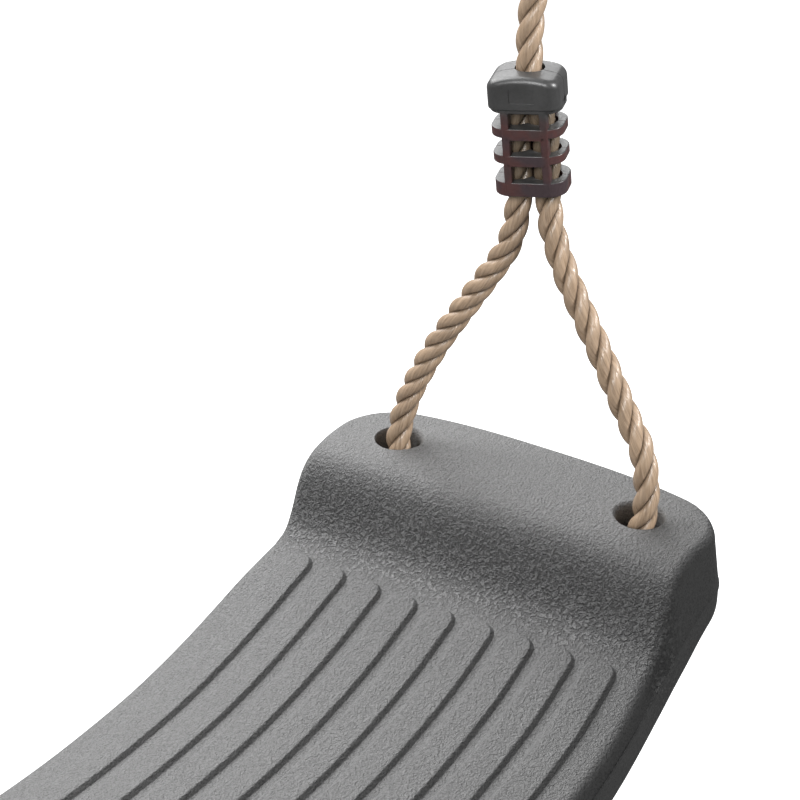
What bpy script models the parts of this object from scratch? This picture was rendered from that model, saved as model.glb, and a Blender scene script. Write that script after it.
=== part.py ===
"""A moulded swing seat on two rope bridles, hung from two ceiling hangers.

Frame: +Z up, +X along the seat, +Y across it. The origin is midway between the top faces of the two
hanger plates. Every length is in metres, and a height h is measured from the rims of the rope holes.
"""
import math

import bmesh
import bpy
from mathutils import Matrix, Vector

MM = 0.001
GAP = 0.3 * MM
HANG = 370 * MM                    # rims of the rope holes down from the hanger plates' top faces

# Seat
SEAT_LENGTH = 432 * MM
SEAT_WIDTH = 179 * MM
CORNER_RADIUS = 25 * MM
TOP_EDGE_RADIUS = 5 * MM
DISH_DRAFT = 1.2 * MM              # how far the side walls lean out from the top rim to the parting line
RISE_DRAFT = 3 * MM                # the same on the raised ends
DRAFT_GROWS = (115 * MM, 160 * MM)  # places along the seat between which the draft grows
BOTTOM_EDGE_RADIUS = 7 * MM
END_BOW = 3 * MM                 # how far each end's edge has curved back at BOW_Y from its middle
BOW_Y = 60 * MM
BOW_POWER = 2.6
BOW_GROWS = (160 * MM, 215 * MM)
END_TAPER = 3.3 * MM               # how much nearer the long edges are to the middle at each end
TAPER_GROWS = (100 * MM, 165 * MM)
SHELL_WALL = 3 * MM
TOP_LINE = [(0, -61.2), (45, -59.2), (75, -55), (105, -47.9), (128, -39.8), (138, -36.1), (143, -34.3),
            (146.5, -32.2), (149.5, -29.4), (152, -25), (154.5, -19), (156.5, -13.5), (159.5, -8), (164, -4),
            (170, -1.8), (178, -0.5), (186, -0.1), (215, 0)]
BOTTOM_LINE = [(0, -90), (40, -88.6), (75, -84.2), (116, -73.5), (147, -62.4), (166, -53), (182, -45),
               (200, -39), (215, -37)]
PARTING_LINE = [(0, -71.7), (75, -65.5), (120, -53), (138, -46.5), (150, -41), (161, -35), (173, -30),
                (185, -26.5), (215, -25)]
PLATFORM_CROWN = 2.5 * MM          # how much lower the platform is near its long edges
CROWN_HALF_WIDTH = 84 * MM

# Raised ribs on the seat's top
RIB_COUNT = 9
RIB_PITCH = 17.2 * MM
RIB_HEIGHT = 1.8 * MM
RIB_FOOT_HALF = 7 * MM
RIB_TOP_HALF = 5.6 * MM
RIB_TIP = 139 * MM                 # outermost ribs' ends, from the seat's middle
RIB_TIP_STEP = 2.9 * MM            # how much shorter the middle rib is at each end
RIB_TIP_RADIUS = 6 * MM

# Rope holes, and the channel that takes the rope under each end of the seat
HOLE_X = 185 * MM
HOLE_Y = 54.15 * MM
HOLE_RADIUS = 9 * MM
HOLE_RIM_ROUND = 3 * MM
ROPE_RADIUS = 5 * MM
BEND_RADIUS = 20 * MM
UNDER_H = -29 * MM                 # rope's centre line below the rims
SADDLE_CLEAR = 0.6 * MM
CHANNEL_PAST_HOLE = MM               # how far the channel runs past the middle of a hole
CHANNEL_NARROWER = 0.4 * MM          # how much narrower than a hole it is on each side
BLOW_HOLE_RADIUS = 4 * MM
PLUG_RADIUS = 7 * MM
PLUG_HEAD = 1.5 * MM
PLUG_SHANK = 6 * MM

# Length adjuster, in its own frame: width, depth, height from its middle
ADJUSTER_TWIST = math.radians(18)
ADJUSTER_LEAN = math.radians(4.4)
ADJUSTER_PITCH = math.radians(3)     # how far its top leans over the seat
ADJUSTER_H = 137 * MM
ADJUSTER_X = -0.1 * MM
ADJUSTER_Y = -0.1 * MM
ADJUSTER_WIDTH = 26.6 * MM
ADJUSTER_DEPTH = 18.6 * MM
RING_CORNER = 6.5 * MM
HEAD_OVERHANG = 1 * MM             # how far the head stands out beyond the rings, front and back
HEAD_CORNER = 4.5 * MM
HEAD_ROUND = 2.4 * MM
HEAD_BOTTOM = 15.2 * MM
HEAD_SHOULDER = 25.2 * MM
HEAD_CREST = 27.6 * MM
HEAD_LIP = 1.6 * MM                # height of the ladder's top bar under the head
BACK_WALL = 7.7 * MM               # where the wall behind the windows starts, in depth
RING_LEVELS = [(-18.5 * MM, -13.0 * MM), (-5.9 * MM, -2.5 * MM), (4.2 * MM, 7.8 * MM)]
STILE_INNER = 5.6 * MM
STILE_OUTER = 8.5 * MM
STILE_BACK = 5.6 * MM
CHANNEL_RADIUS = 5.5 * MM
SLOT = (2.2 * MM, 3 * MM, 16 * MM)   # half width and half depth of the slot between the ropes, and its top
SPLIT = 0.15 * MM                  # half of the gap between the adjuster's two halves

# Eye at the rope's top
THIMBLE_H = 302 * MM
THIMBLE_HOLE_RADIUS = 11 * MM
THIMBLE_RIM_RADIUS = 18 * MM
THIMBLE_HALF_WIDTH = 6.8 * MM
EYE_RADIUS = 20 * MM
FERRULE_RUN = 6.5 * MM               # each rope run's distance from the ferrule's middle
FERRULE_BOTTOM_H = 225 * MM
FERRULE_TOP_H = 260 * MM
FERRULE_WIDTH = 27.5 * MM
FERRULE_DEPTH = 15 * MM

# Steel ring, bow and hanger plate
RING_WIRE = 4 * MM
RING_RADIUS = 22 * MM
BOW_WIRE = 5 * MM
BOW_HALF_WIDTH = 20 * MM
BOW_CORNER = 12 * MM
CONTACT_CLEAR = 0.4 * MM
PLATE_LENGTH = 90 * MM
PLATE_WIDTH = 40 * MM
PLATE_THICK = 4 * MM
PLATE_CORNER = 6 * MM
SCREW_X = 35 * MM
SCREW_RADIUS = 4.5 * MM
RING_BOTTOM_H = THIMBLE_H + THIMBLE_HOLE_RADIUS - RING_WIRE - CONTACT_CLEAR
RING_CENTRE_H = RING_BOTTOM_H + RING_RADIUS
BOW_H = RING_CENTRE_H + RING_RADIUS - RING_WIRE - CONTACT_CLEAR - BOW_WIRE

# Caps on the rope's two ends
CAP_LENGTH = 13 * MM
CAP_WALL = 0.9 * MM

# Rope routes below the eye, in mm: outward from the holes' plane, across the seat, height
ROUTE_DOWN = [(6.5, 0, 242), (6.5, 0, 225), (6.2, 0.3, 213), (4.8, 1.3, 203), (2.8, 2.4, 193), (1.2, 2.6, 183),
              (0.3, 2.4, 174), (0, 1.9, 166), (0.2, 0.4, 158), (1.0, -2.6, 149.5), (1.6, -5.0, 141),
              (1.9, -6.0, 130), (2.2, -6.9, 118.5)]
ROUTE_FRONT_LEG = [(2.0, -8.8, 106), (1.8, -12.2, 96.6), (1.5, -17.3, 86), (1.3, -23.6, 75.5), (0.9, -36, 55),
                   (0.5, -47.0, 36), (0.3, -51.8, 28.3), (0.1, -54.7, 19.5), (0, -56.0, 10.5), (0, -56.0, 2)]
ROUTE_REAR_LEG = [(0, 53.9, 2), (0, 51.6, 12.5), (-0.2, 47.8, 23.4), (-0.4, 37.1, 45), (-0.6, 22.8, 68),
                  (-0.8, 13.6, 82.5), (-0.9, 7.6, 93), (-1.0, 4.4, 104), (-1.05, 3.3, 118.5), (-1.3, 4.2, 130),
                  (-1.5, 5.0, 140), (-1.6, 5.3, 150)]


# ---------------------------------------------------------------- helpers

def clear_scene():
    for obj in list(bpy.data.objects):
        bpy.data.objects.remove(obj, do_unlink=True)


def new_collection(name):
    collection = bpy.data.collections.new(name)
    bpy.context.scene.collection.children.link(collection)
    return collection


def material(name, colour, roughness, metallic=0.0):
    mat = bpy.data.materials.new(name)
    mat.use_nodes = True
    mat.diffuse_color = (*colour, 1.0)
    shader = mat.node_tree.nodes["Principled BSDF"]
    shader.inputs["Base Color"].default_value = (*colour, 1.0)
    shader.inputs["Roughness"].default_value = roughness
    shader.inputs["Metallic"].default_value = metallic
    return mat


def object_from_bmesh(name, bm, collection):
    mesh = bpy.data.meshes.new(name)
    bm.to_mesh(mesh)
    bm.free()
    obj = bpy.data.objects.new(name, mesh)
    collection.objects.link(obj)
    return obj


def finish_part(obj, mat, pivot):
    """Gives a part its material, smooth shading and its parent on the joint's axis."""
    obj.data.materials.clear()
    obj.data.materials.append(mat)
    if obj.type == 'MESH':
        obj.data.shade_smooth()
        obj.data.set_sharp_from_angle(angle=math.radians(35))
    obj.data.transform(Matrix.Translation(-pivot.location))
    obj.parent = pivot
    return obj


def pivot_at(name, place, collection):
    pivot = bpy.data.objects.new(name, None)
    pivot.empty_display_size = 10 * MM
    pivot.location = place
    collection.objects.link(pivot)
    return pivot


def as_cutter(obj):
    obj.hide_render = True
    obj.display_type = 'WIRE'
    return obj


def boolean(obj, cutter, operation='DIFFERENCE'):
    modifier = obj.modifiers.new(cutter.name, 'BOOLEAN')
    modifier.operation = operation
    modifier.solver = 'EXACT'
    modifier.object = cutter


def height(h):
    """Height above the rope holes' rims to a height in the model's frame."""
    return h - HANG


def block(name, low, high, collection, corner=0.0, top_round=0.0, segments=4):
    """A box between two corners, with its upright edges and its top rim rounded."""
    bm = bmesh.new()
    bmesh.ops.create_cube(bm, size=1.0)
    size = Vector(high) - Vector(low)
    centre = (Vector(high) + Vector(low)) / 2
    bmesh.ops.transform(bm, verts=bm.verts, matrix=Matrix.Translation(centre) @ Matrix.Diagonal((*size, 1.0)))
    if corner:
        upright = [e for e in bm.edges if abs(e.verts[0].co.z - e.verts[1].co.z) > size.z / 2]
        bmesh.ops.bevel(bm, geom=upright, offset=corner, segments=segments, profile=0.5, affect='EDGES')
    if top_round:
        rim = [e for e in bm.edges if all(v.co.z > high[2] - MM / 10 for v in e.verts)]
        bmesh.ops.bevel(bm, geom=rim, offset=top_round, segments=2, profile=0.5, affect='EDGES')
    return object_from_bmesh(name, bm, collection)


def cylinder(name, centre, radius, length, collection, segments=24):
    """An upright cylinder about its centre."""
    bm = bmesh.new()
    bmesh.ops.create_cone(bm, cap_ends=True, segments=segments, radius1=radius, radius2=radius, depth=length,
                          matrix=Matrix.Translation(centre))
    return object_from_bmesh(name, bm, collection)


def hermite(line, x):
    """Height at x on a smooth line through points given as (x, height)."""
    last = len(line) - 1
    i = 0
    while i < last - 1 and x > line[i + 1][0]:
        i += 1

    def slope(k):
        low = max(k - 1, 0)
        high = min(k + 1, last)
        if k == 0:
            return 0.0
        return (line[high][1] - line[low][1]) / (line[high][0] - line[low][0])

    (x0, y0), (x1, y1) = line[i], line[i + 1]
    span = x1 - x0
    t = (x - x0) / span
    return ((2 * t**3 - 3 * t**2 + 1) * y0 + (t**3 - 2 * t**2 + t) * span * slope(i)
            + (3 * t**2 - 2 * t**3) * y1 + (t**3 - t**2) * span * slope(i + 1))


def smooth_route(points, spacing):
    """Points about one spacing apart on a smooth curve through a route's own points."""
    places = [Vector(p) for p in points]
    knots = [0.0]
    for a, b in zip(places, places[1:]):
        knots.append(knots[-1] + (b - a).length)

    def tangent(k):
        low = max(k - 1, 0)
        high = min(k + 1, len(places) - 1)
        return (places[high] - places[low]) / (knots[high] - knots[low])

    count = round(knots[-1] / spacing)
    route = []
    i = 0
    for step in range(count + 1):
        s = knots[-1] * step / count
        while i < len(places) - 2 and s > knots[i + 1]:
            i += 1
        span = knots[i + 1] - knots[i]
        t = (s - knots[i]) / span
        route.append((2 * t**3 - 3 * t**2 + 1) * places[i] + (t**3 - 2 * t**2 + t) * span * tangent(i)
                     + (3 * t**2 - 2 * t**3) * places[i + 1] + (t**3 - t**2) * span * tangent(i + 1))
    return route


def tube(name, points, radius, collection, resolution=2):
    curve = bpy.data.curves.new(name, 'CURVE')
    curve.dimensions = '3D'
    curve.bevel_depth = radius
    curve.bevel_resolution = resolution
    curve.use_fill_caps = True
    spline = curve.splines.new('POLY')
    spline.points.add(len(points) - 1)
    for point, place in zip(spline.points, points):
        point.co = (*place, 1.0)
    obj = bpy.data.objects.new(name, curve)
    collection.objects.link(obj)
    return obj


def tube_mesh(name, points, radius, collection, resolution=3):
    """A capped tube as a mesh, for a piece that is cut or that cuts."""
    source = tube(name + "_curve", points, radius, collection, resolution)
    bpy.context.view_layer.update()
    mesh = bpy.data.meshes.new_from_object(source.evaluated_get(bpy.context.evaluated_depsgraph_get()))
    bpy.data.objects.remove(source, do_unlink=True)
    bm = bmesh.new()
    bm.from_mesh(mesh)
    bpy.data.meshes.remove(mesh)
    bmesh.ops.remove_doubles(bm, verts=bm.verts, dist=MM / 100)
    return object_from_bmesh(name, bm, collection)


# ---------------------------------------------------------------- seat

def grown(value, span):
    """A smooth share from 0 at a span's start to 1 at its end."""
    t = min(max((value - span[0]) / (span[1] - span[0]), 0.0), 1.0)
    return t * t * (3 - 2 * t)


def wall_draft(x):
    """How far the walls lean out above the parting line at a place along the seat."""
    return DISH_DRAFT + (RISE_DRAFT - DISH_DRAFT) * grown(abs(x), DRAFT_GROWS)


def shaped_ends(place):
    """A point of the straight-sided seat, moved so that the ends bow and the sides taper to them."""
    x, y, z = place
    back = END_BOW * (abs(y) / BOW_Y)**BOW_POWER * grown(abs(x), BOW_GROWS)
    narrow = 1 - END_TAPER / (SEAT_WIDTH / 2) * grown(abs(x), TAPER_GROWS)
    return Vector((math.copysign(abs(x) - back, x), y * narrow, z))


def half_width(x, inset=0.0):
    """Half the seat's width at x, on its outline with rounded corners."""
    past = abs(x) - (SEAT_LENGTH / 2 - CORNER_RADIUS)
    if past <= 0:
        return SEAT_WIDTH / 2 - inset
    radius = CORNER_RADIUS - inset
    return SEAT_WIDTH / 2 - CORNER_RADIUS + math.sqrt(max(radius**2 - past**2, 0.0))


def inset_from_outline(x, y):
    """Distance from a point inside the seat's outline to that outline."""
    qx = abs(x) - (SEAT_LENGTH / 2 - CORNER_RADIUS)
    qy = abs(y) - (SEAT_WIDTH / 2 - CORNER_RADIUS)
    outside = math.hypot(max(qx, 0.0), max(qy, 0.0)) + min(max(qx, qy), 0.0)
    return CORNER_RADIUS - outside


def edge_drop(inset, radius):
    """How far a rounded rim has fallen at a distance inside the outline."""
    short = min(max(radius - inset, 0.0), radius)
    return radius - math.sqrt(radius**2 - short**2)


def rim_drop(inset, x, rim):
    """How far the rounded rim and the leaning wall have fallen at a distance inside the outline."""
    draft = wall_draft(x)
    rounding = edge_drop(inset - draft, TOP_EDGE_RADIUS)
    depth = rim - hermite(PARTING_LINE, abs(x) / MM) * MM
    return rounding + (depth - TOP_EDGE_RADIUS) * min(max(1 - inset / draft, 0.0), 1.0)


def rib_height(x, y):
    """Height of the raised ribs above the seat's dished top."""
    index = round(y / RIB_PITCH)
    if abs(index) > RIB_COUNT // 2:
        return 0.0
    tip = RIB_TIP - RIB_TIP_STEP * (1 - (2 * index / (RIB_COUNT - 1))**2)
    qx = abs(x) - (tip - RIB_TIP_RADIUS)
    qy = abs(y - index * RIB_PITCH) - (RIB_FOOT_HALF - RIB_TIP_RADIUS)
    outside = math.hypot(max(qx, 0.0), max(qy, 0.0)) + min(max(qx, qy), 0.0) - RIB_TIP_RADIUS
    share = min(max(-outside / (RIB_FOOT_HALF - RIB_TOP_HALF), 0.0), 1.0)
    return RIB_HEIGHT * share


def top_h(x, y):
    crown = PLATFORM_CROWN * min(abs(y) / CROWN_HALF_WIDTH, 1.0)**3
    surface = hermite(TOP_LINE, abs(x) / MM) * MM - crown
    return surface + rib_height(x, y) - rim_drop(inset_from_outline(x, y), x, surface)


def bottom_h(x, y):
    line = hermite(BOTTOM_LINE, abs(x) / MM) * MM
    return line + edge_drop(inset_from_outline(x, y), BOTTOM_EDGE_RADIUS)


def seat_rows():
    """Places along the seat where its section is drawn, closer at the tips, the rise and the rims."""
    end = SEAT_LENGTH / 2
    rim = end - RISE_DRAFT
    rounded = [rim - TOP_EDGE_RADIUS * (1 - math.cos(math.radians(a))) for a in (90, 55, 25, 0)]
    corner = [end - CORNER_RADIUS, end - 18 * MM, end - 12.5 * MM]
    plain = [v * MM for v in (0, 22, 44, 66, 88, 108, 124, 132, 134.5, 137, 140, 144, 147.5, 150, 152.5, 155,
                              157.5, 160.5, 164.5, 170, 178)]
    half = plain + corner + rounded + [end]
    return [-x for x in reversed(half[1:])] + half


def top_columns():
    """Places across the seat's top: both edges of each rib's foot and top."""
    columns = []
    for index in range(-(RIB_COUNT // 2), RIB_COUNT // 2 + 1):
        middle = index * RIB_PITCH
        columns += [middle - RIB_FOOT_HALF, middle - RIB_TOP_HALF, middle + RIB_TOP_HALF, middle + RIB_FOOT_HALF]
    return columns


def seat_section(x, columns):
    """The closed loop of the seat's outer surface at one place along it."""
    wide = half_width(x)
    rim = SEAT_WIDTH / 2 - wide
    rim_y = wide - wall_draft(x)
    rounding = [rim_y - TOP_EDGE_RADIUS * (1 - math.cos(math.radians(a))) for a in (50, 25, 0)] + [wide]
    inner = [y * (wide / (SEAT_WIDTH / 2)) if rim > 0 else y for y in columns]
    across = [-y for y in reversed(rounding)] + inner + rounding
    loop = [Vector((x, y, height(top_h(x, y)))) for y in across]
    under = [wide, wide - 2.5 * MM, wide - BOTTOM_EDGE_RADIUS, wide / 2, 0.0]
    under += [-y for y in reversed(under[:-1])]
    loop += [Vector((x, y, height(bottom_h(x, y)))) for y in under]
    return [shaped_ends(place) for place in loop]


def core_section(x):
    """The loop of the hollow inside the seat, one wall inside the outer surface."""
    wide = half_width(x, SHELL_WALL + wall_draft(x))
    columns = [-wide, -wide * 0.85, -wide / 2, 0.0, wide / 2, wide * 0.85, wide]
    lift = TOP_EDGE_RADIUS * 0.45
    loop = []
    for y in columns:
        rim = lift if abs(y) == wide else 0.0
        loop.append(Vector((x, y, height(hermite(TOP_LINE, abs(x) / MM) * MM - SHELL_WALL
                                         - PLATFORM_CROWN * min(abs(y) / CROWN_HALF_WIDTH, 1.0)**3 - rim))))
    for y in reversed(columns):
        rim = lift if abs(y) == wide else 0.0
        loop.append(Vector((x, y, height(hermite(BOTTOM_LINE, abs(x) / MM) * MM + SHELL_WALL + rim))))
    return [shaped_ends(place) for place in loop]


def loft(name, sections, collection):
    """A closed solid through a row of loops that have the same number of points."""
    bm = bmesh.new()
    rings = [[bm.verts.new(place) for place in section] for section in sections]
    for ring, following in zip(rings, rings[1:]):
        for i in range(len(ring)):
            j = (i + 1) % len(ring)
            bm.faces.new((ring[i], ring[j], following[j], following[i]))
    caps = [bm.faces.new(rings[0]), bm.faces.new(reversed(rings[-1]))]
    bmesh.ops.triangulate(bm, faces=caps)
    bmesh.ops.recalc_face_normals(bm, faces=bm.faces)
    return object_from_bmesh(name, bm, collection)


def channel_outline(grow):
    """Outline, across the seat and up, of the rope channel under one end, grown by a wall."""
    start = HOLE_Y - BEND_RADIUS
    radius = BEND_RADIUS - ROPE_RADIUS - SADDLE_CLEAR - grow
    top = UNDER_H + BEND_RADIUS
    arc = [(start + radius * math.cos(a), top - radius * math.sin(a))
           for a in [math.radians(10 + 80 * k / 4) for k in range(5)]]
    reach = HOLE_Y + CHANNEL_PAST_HOLE
    deep = -80 * MM
    right = [(reach, deep), (reach, arc[0][1])] + arc
    return right + [(-y, h) for y, h in reversed(right)]


def channel_cutter(name, x, grow, collection):
    """The channel's outline as a solid a little narrower than a rope hole, along X."""
    bm = bmesh.new()
    half = HOLE_RADIUS - CHANNEL_NARROWER + grow
    face = bm.faces.new([bm.verts.new((x - half, y, height(h))) for y, h in channel_outline(grow)])
    pushed = bmesh.ops.extrude_face_region(bm, geom=[face])
    moved = [item for item in pushed["geom"] if isinstance(item, bmesh.types.BMVert)]
    bmesh.ops.translate(bm, verts=moved, vec=(2 * half, 0, 0))
    bmesh.ops.recalc_face_normals(bm, faces=bm.faces)
    return as_cutter(object_from_bmesh(name, bm, collection))


def rim_cutter(name, x, y, collection):
    """A flared plug that rounds over a rope hole's upper rim."""
    steps = [math.radians(90 * k / 3) for k in range(4)]
    profile = [(HOLE_RADIUS + HOLE_RIM_ROUND * (1 - math.cos(a)), -HOLE_RIM_ROUND * (1 - math.sin(a)))
               for a in steps]
    bm = bmesh.new()
    rings = []
    for radius, h in [(HOLE_RADIUS, -60 * MM)] + profile + [(HOLE_RADIUS + HOLE_RIM_ROUND, 12 * MM)]:
        circle = bmesh.ops.create_circle(bm, segments=24, radius=radius,
                                         matrix=Matrix.Translation((x, y, height(h - GAP))))
        rings.append(circle["verts"])
    for ring, following in zip(rings, rings[1:]):
        for i in range(24):
            j = (i + 1) % 24
            bm.faces.new((ring[i], ring[j], following[j], following[i]))
    bm.faces.new(reversed(rings[0]))
    bm.faces.new(rings[-1])
    bmesh.ops.recalc_face_normals(bm, faces=bm.faces)
    return as_cutter(object_from_bmesh(name, bm, collection))


def make_seat(parts, cutters, mat, pivot):
    columns = top_columns()
    seat = loft("seat_shell", [seat_section(x, columns) for x in seat_rows()], parts)
    end = SEAT_LENGTH / 2 - SHELL_WALL - RISE_DRAFT
    core_rows = [x for x in seat_rows() if abs(x) < end - 2 * MM]
    core_rows = [-end] + core_rows[::2] + [end]
    core = as_cutter(loft("seat_core", [core_section(x) for x in core_rows], cutters))
    for side in (-1, 1):
        x = side * HOLE_X
        boolean(core, channel_cutter(f"channel_wall_{side}", x, SHELL_WALL, cutters))
        for y in (-HOLE_Y, HOLE_Y):
            post = cylinder(f"hole_post_{side}_{y:.2f}", (x, y, height(-30 * MM)), HOLE_RADIUS + SHELL_WALL,
                            120 * MM, cutters)
            boolean(core, as_cutter(post))
    boolean(seat, core)
    for side in (-1, 1):
        x = side * HOLE_X
        boolean(seat, channel_cutter(f"channel_{side}", x, 0.0, cutters))
        for y in (-HOLE_Y, HOLE_Y):
            boolean(seat, rim_cutter(f"hole_{side}_{y:.2f}", x, y, cutters))
    blow = cylinder("blow_hole", (0, 0, height(-85 * MM)), BLOW_HOLE_RADIUS, 20 * MM, cutters, segments=16)
    boolean(seat, as_cutter(blow))
    finish_part(seat, mat, pivot)


def make_plug(parts, cutters, mat, pivot):
    """The plug that closes the moulding's blow hole in the middle of the underside."""
    face = height(bottom_h(0, 0)) - GAP
    plug = cylinder("seat_vent_plug", (0, 0, face - PLUG_HEAD / 2), PLUG_RADIUS, PLUG_HEAD, parts, segments=20)
    shank = cylinder("plug_shank", (0, 0, face - PLUG_HEAD / 2 + PLUG_SHANK / 2), BLOW_HOLE_RADIUS - GAP,
                     PLUG_SHANK, cutters, segments=16)
    boolean(plug, as_cutter(shank), 'UNION')
    finish_part(plug, mat, pivot)


# ---------------------------------------------------------------- one side's rope and fittings

def eye_arc():
    """The rope's turn round the thimble, from the tail's side over the top."""
    angles = [math.radians(200 - 22 * k) for k in range(11)]
    return [(EYE_RADIUS / MM * math.cos(a), 0, (THIMBLE_H + EYE_RADIUS * math.sin(a)) / MM) for a in angles]


def bend_arc(sign):
    """The rope's quarter turn under one hole, from the hole's side inwards."""
    middle = HOLE_Y - BEND_RADIUS
    top = UNDER_H + BEND_RADIUS
    return [(0, sign * (middle + BEND_RADIUS * math.cos(a)) / MM, (top - BEND_RADIUS * math.sin(a)) / MM)
            for a in [math.radians(90 * k / 4) for k in range(5)]]


def rope_route():
    """All the rope's own points, from its tail end through the eye and the bridle to its last end."""
    run = FERRULE_RUN / MM
    up = [(-run, 0, 212), (-run, 0, 225), (-run, 0, 242), (-run, 0, 258), (-9.0, 0, 270), (-14, 0, 283)]
    over = [(14, 0, 283), (9.0, 0, 270), (run, 0, 258)]
    under = [(0, -20, UNDER_H / MM), (0, 0, UNDER_H / MM), (0, 20, UNDER_H / MM)]
    return (up + eye_arc() + over + ROUTE_DOWN + ROUTE_FRONT_LEG + bend_arc(-1) + under
            + list(reversed(bend_arc(1))) + ROUTE_REAR_LEG)


def placed_route(side, points):
    """Route points in mm, moved to one side of the seat and into the model's frame."""
    return [(side * (HOLE_X + x * MM), y * MM, height(h * MM)) for x, y, h in points]


def stretched(points, extra):
    """A route with its first and last points pushed outwards."""
    first = points[0] + (points[0] - points[1]).normalized() * extra
    last = points[-1] + (points[-1] - points[-2]).normalized() * extra
    return [first] + points[1:-1] + [last]


def between(route, low_h, high_h):
    """The stretch of a rope's curve between two heights."""
    return [p for p in route if height(low_h) <= p.z <= height(high_h)]


def adjuster_frame(side):
    """Where the adjuster sits: turned about the rope and leaning with it."""
    place = Matrix.Translation((side * (HOLE_X + ADJUSTER_X), ADJUSTER_Y, height(ADJUSTER_H)))
    across = Vector((side * math.sin(ADJUSTER_TWIST), -math.cos(ADJUSTER_TWIST), 0))
    outward = Vector((side, 0, 0))
    up = Vector((0, 0, 1)) - across * math.tan(ADJUSTER_LEAN) - outward * math.tan(ADJUSTER_PITCH)
    up.normalize()
    across = (across - up * across.dot(up)).normalized()
    turn = Matrix((across, up.cross(across), up)).transposed().to_4x4()
    return place @ turn


def window_edge(reach):
    """One face's outline of a window cutter, which reaches to a depth between the stiles."""
    far = 20 * MM
    edge = [(far, far), (STILE_OUTER, far), (STILE_OUTER, STILE_BACK), (STILE_INNER, STILE_BACK),
            (STILE_INNER, reach)]
    return edge + [(-w, d) for w, d in reversed(edge)]


def adjuster_windows(cutters, name, frame, side):
    """Cutters for the openings between the rings: they leave two stiles on each face and the outer wall."""
    positive, negative = (BACK_WALL, 20 * MM) if side > 0 else (20 * MM, BACK_WALL)
    outline = window_edge(positive) + [(w, -d) for w, d in reversed(window_edge(negative))]
    lows = [top for _, top in RING_LEVELS]
    highs = [low for low, _ in RING_LEVELS[1:]] + [HEAD_BOTTOM - HEAD_LIP]
    bm = bmesh.new()
    for low, high in zip(lows, highs):
        face = bm.faces.new([bm.verts.new((w, d, low)) for w, d in outline])
        pushed = bmesh.ops.extrude_face_region(bm, geom=[face])
        moved = [item for item in pushed["geom"] if isinstance(item, bmesh.types.BMVert)]
        bmesh.ops.translate(bm, verts=moved, vec=(0, 0, high - low))
    bmesh.ops.recalc_face_normals(bm, faces=bm.faces)
    windows = object_from_bmesh(name, bm, cutters)
    windows.data.transform(frame)
    return as_cutter(windows)


def adjuster_half(name, side, sign, frame, parts, cutters, channels, mat, pivot):
    """The adjuster's half at positive or negative depth: a head and three rings on two stiles."""
    half_w = ADJUSTER_WIDTH / 2
    half_d = ADJUSTER_DEPTH / 2
    cage = block(name, (-half_w, -half_d, RING_LEVELS[0][0]), (half_w, half_d, HEAD_BOTTOM + MM), parts,
                 corner=RING_CORNER)
    head_d = half_d + HEAD_OVERHANG
    head = block(name + "_head", (-half_w, -head_d, HEAD_BOTTOM), (half_w, head_d, HEAD_CREST), cutters,
                 corner=HEAD_CORNER, top_round=HEAD_ROUND)
    for vert in head.data.vertices:
        if vert.co.z > HEAD_CREST - 4 * MM:
            vert.co.z -= (HEAD_CREST - HEAD_SHOULDER) * (vert.co.x / half_w)**2
    windows = adjuster_windows(cutters, name + "_windows", frame, side)
    far = 30 * MM
    other = block(name + "_other_half", (-far, min(SPLIT * sign, -far * sign), -far),
                  (far, max(SPLIT * sign, -far * sign), 2 * far), cutters)
    slot = block(name + "_slot", (-SLOT[0], -SLOT[1], -25 * MM), SLOT, cutters)
    for obj in (cage, head, other, slot):
        obj.data.transform(frame)
    for obj in (head, other, slot):
        as_cutter(obj)
    boolean(cage, windows)
    boolean(cage, head, 'UNION')
    for channel in channels + [slot]:
        boolean(cage, channel)
    boolean(cage, other)
    finish_part(cage, mat, pivot)


def rope_cap(name, end, inward, parts, cutters, mat, pivot):
    """A short sleeve, closed at its outer end, over a rope's cut end."""
    outer = ROPE_RADIUS + GAP + CAP_WALL
    tip = end - inward * (GAP + CAP_WALL)
    cap = tube_mesh(name, [tip, tip + inward * CAP_LENGTH], outer, parts)
    bore = tube_mesh(name + "_bore", [end - inward * GAP, tip + inward * (CAP_LENGTH + MM)],
                     ROPE_RADIUS + 1.5 * GAP, cutters)
    boolean(cap, as_cutter(bore))
    finish_part(cap, mat, pivot)


def thimble(name, side, parts, mat, pivot):
    """A grooved eye: one turned profile about an axis across the seat."""
    profile = []
    for k in range(5):
        y = THIMBLE_HALF_WIDTH * (1 - k / 2)
        profile.append((THIMBLE_HOLE_RADIUS + y**2 / (24 * MM), -y))
    groove = EYE_RADIUS
    depth = ROPE_RADIUS + 2 * GAP
    profile.append((THIMBLE_RIM_RADIUS, THIMBLE_HALF_WIDTH))
    for k in range(7):
        a = math.radians(24 + (180 - 48) * k / 6)
        profile.append((groove - depth * math.sin(a), depth * math.cos(a)))
    profile.append((THIMBLE_RIM_RADIUS, -THIMBLE_HALF_WIDTH))
    bm = bmesh.new()
    verts = [bm.verts.new((r, 0, z)) for r, z in profile]
    for a, b in zip(verts, verts[1:] + verts[:1]):
        bm.edges.new((a, b))
    obj = object_from_bmesh(name, bm, parts)
    screw = obj.modifiers.new("Turn", 'SCREW')
    screw.angle = 2 * math.pi
    screw.steps = 28
    screw.render_steps = 28
    screw.use_merge_vertices = True
    screw.merge_threshold = 1e-5
    obj.data.materials.append(mat)
    obj.parent = pivot
    obj.rotation_euler = (math.pi / 2, 0, 0)
    obj.location = Vector((side * HOLE_X, 0, height(THIMBLE_H))) - pivot.location


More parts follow.
